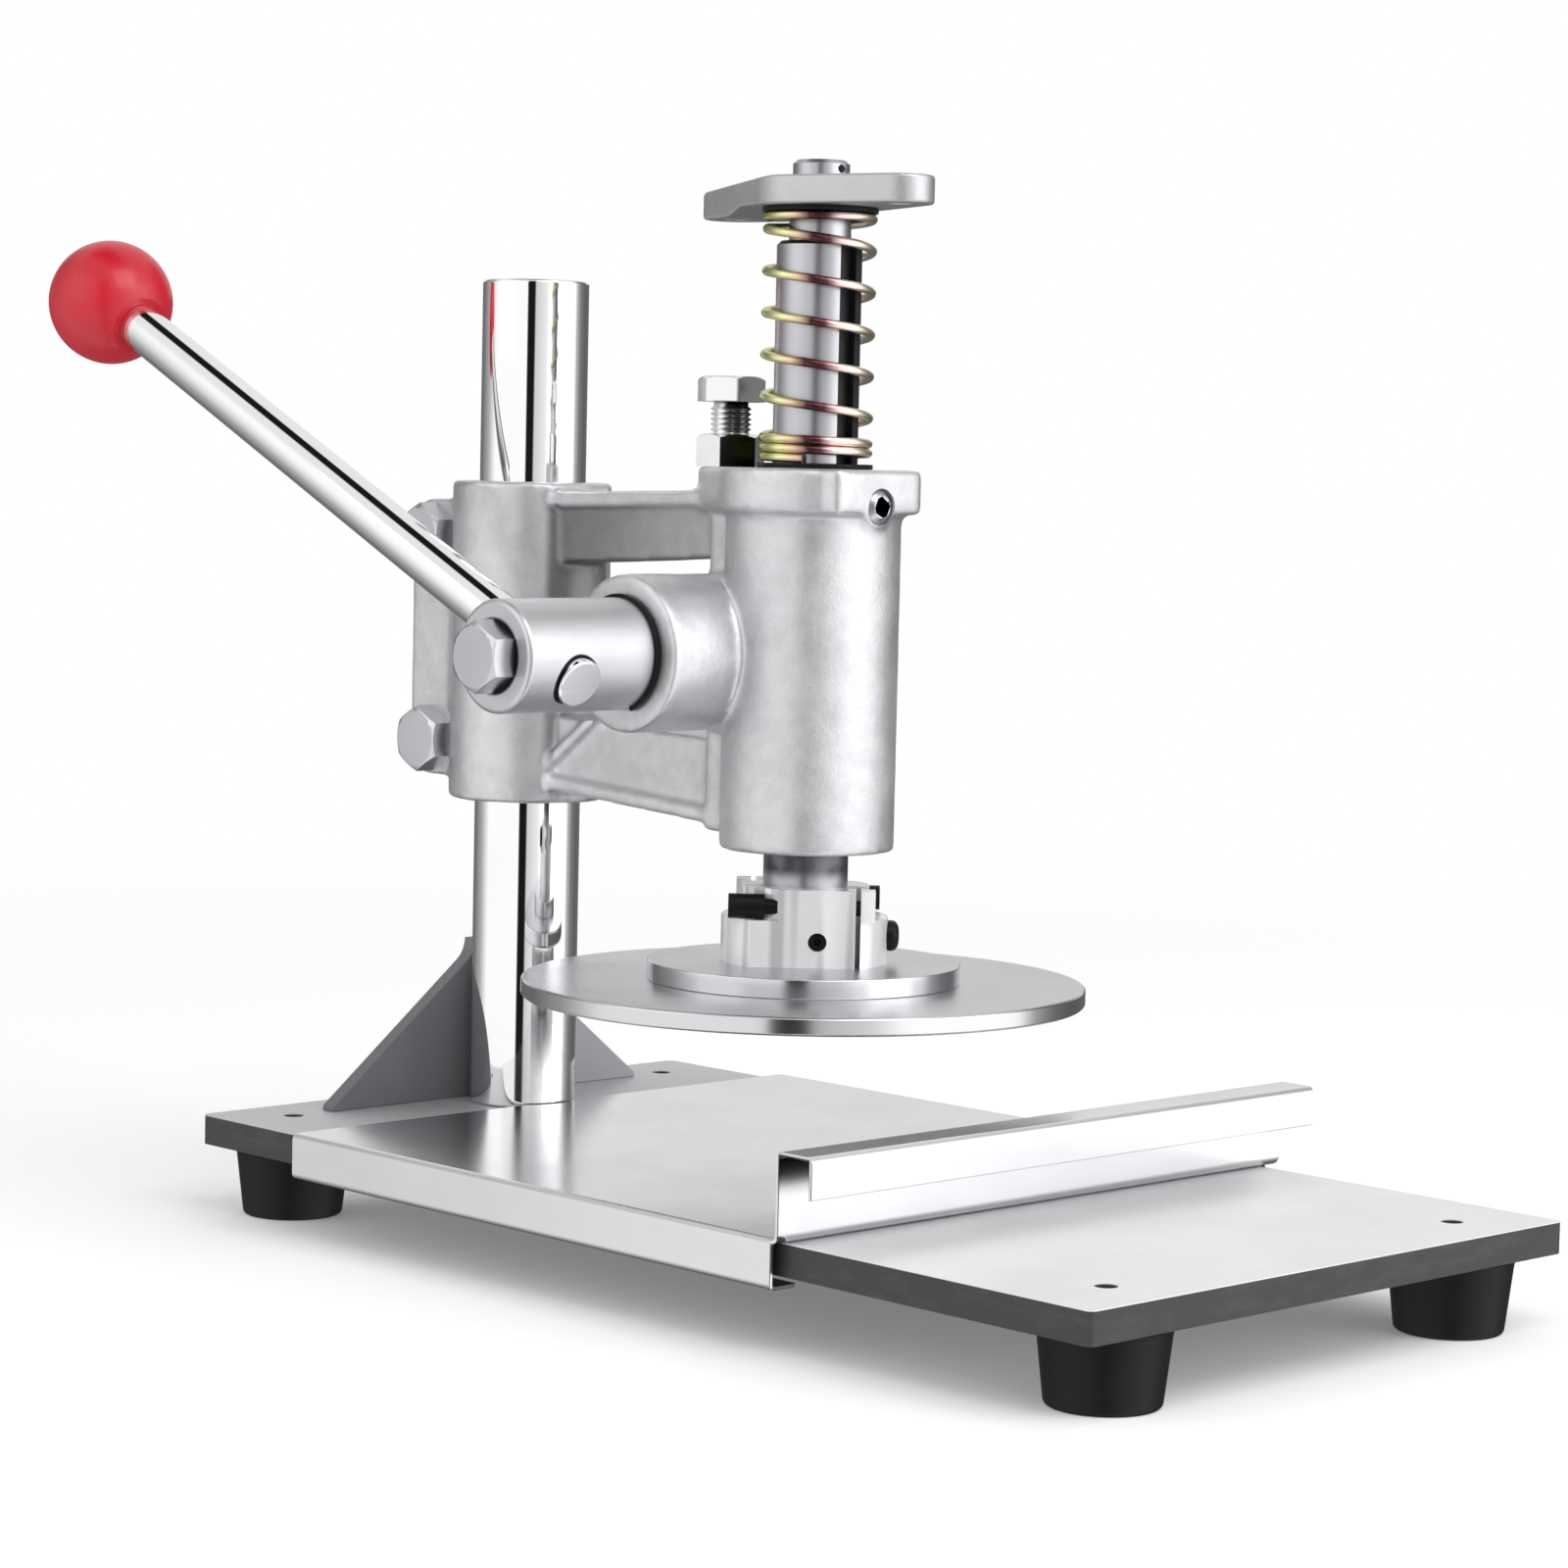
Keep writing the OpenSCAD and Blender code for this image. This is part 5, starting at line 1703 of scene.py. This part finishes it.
def finishes() -> Dict[str, Finish]:
    """Give the finish of each material slot.

    Returns:
        Each finish by the name of its slot.
    """
    base_top = span("base_plate")[1].z
    axis = ram_axis()
    lever_foot = at(LeverSet.lever_x, *LeverSet.pinion)
    plate_high = span("press_plate")[1]
    disc_low, disc_high, _ = span("backing_disc")
    return {
        "base": SawnPlate(
            "satin_plate", (0.9, 0.9, 0.91, 1), (0.82, 0.82, 0.84, 1), roughness=0.46, metallic=0.55,
            lines=(2200, 40, 40), level=base_top, edge=(0.045, 0.045, 0.048, 1),
        ),
        "rubber": Moulded(
            "black_rubber", (0.003, 0.003, 0.0035, 1), (0.006, 0.006, 0.0065, 1), roughness=0.42,
            spread=0.12, metallic=0.0, settings={"Specular IOR Level": 0.22},
        ),
        "zinc": ZincPlate(
            "zinc_plate", (0.66, 0.67, 0.69, 1), (0.5, 0.51, 0.54, 1), roughness=0.3, spread=0.12,
            lines=(900, 900, 900), centre=at(0, Head.stop_y, 0),
        ),
        "black_screw": Brushed(
            "black_oxide", (0.009, 0.009, 0.01, 1), (0.02, 0.02, 0.022, 1), roughness=0.34, spread=0.15,
            metallic=0.5, lines=(900, 900, 900), settings={"Specular IOR Level": 0.15},
        ),
        "column": Brushed(
            "hard_chrome", (0.94, 0.94, 0.95, 1), (0.9, 0.905, 0.91, 1), roughness=0.045, spread=0.04,
            lines=(60, 60, 2500), depth=0.000002,
        ),
        "brace": PaintWithPaintedLight(
            "grey_paint", (0.17, 0.173, 0.184, 1), (0.2, 0.203, 0.215, 1), roughness=0.45, metallic=0.2,
            lines=(300, 300, 300), centre=axis,
        ),
        "casting": CastPaint(
            "silver_paint", (0.695, 0.70, 0.715, 1), (0.59, 0.595, 0.61, 1), roughness=0.38, spread=0.12,
            metallic=0.85, centre=axis,
        ),
        "spring": RainbowZinc(
            "rainbow_zinc", (0.8, 0.7, 0.4, 1), (0.9, 0.82, 0.62, 1), roughness=0.24, spread=0.12,
            centre=axis,
        ),
        "ram": GroundRam(
            "ground_steel", (0.52, 0.525, 0.55, 1), (0.44, 0.445, 0.47, 1), roughness=0.3, spread=0.08,
            lines=(60, 60, 4000), centre=axis,
        ),
        "collar": MilledCollar(
            "milled_aluminium", (0.96, 0.96, 0.965, 1), (0.93, 0.93, 0.94, 1), roughness=0.24, spread=0.05,
            metallic=0.35, lines=(300, 300, 300),
        ),
        "plate": TurnedFace(
            "turned_steel", (0.67, 0.68, 0.70, 1), (0.55, 0.56, 0.58, 1), roughness=0.3, spread=0.12,
            centre=axis, plate_r=plate_high.x - axis.x, disc_r=disc_high.x - axis.x, disc_z=disc_low.z,
        ),
        "shaft": TurnedHub(
            "turned_hub", (0.66, 0.665, 0.68, 1), (0.58, 0.585, 0.605, 1), roughness=0.42, spread=0.08,
            lines=(3000, 60, 60), centre=lever_foot,
        ),
        "lever": Brushed(
            "bright_chrome", (0.94, 0.94, 0.95, 1), (0.9, 0.9, 0.91, 1), roughness=0.05, spread=0.04,
            lines=(400, 400, 400), depth=0.000002,
        ),
        "insert": Brushed("brass", (0.72, 0.52, 0.22, 1), (0.58, 0.40, 0.15, 1), roughness=0.25),
        "knob": Moulded(
            "red_plastic", (0.56, 0.005, 0.02, 1), (0.47, 0.005, 0.018, 1), roughness=0.32, spread=0.08,
            metallic=0.0, coat=0.12, grain=260.0, depth=0.00001,
        ),
        "tray": FoldedSheet(
            "polished_stainless", (0.84, 0.845, 0.855, 1), (0.76, 0.77, 0.78, 1), roughness=0.2, spread=0.06,
            lines=(40, 2500, 2500), centre=axis,
        ),
    }


def main() -> None:
    """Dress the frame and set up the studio."""
    logging.basicConfig(level=logging.INFO, format="%(message)s")
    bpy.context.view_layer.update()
    shop = Workshop(finishes())
    for group in (Stand(), Head(), RamSet(), LeverSet(), Tray()):
        group.build(shop)
    Studio().build()
    LOG.info("%d pieces", len(shop.made))


if __name__ == "__main__":
    main()
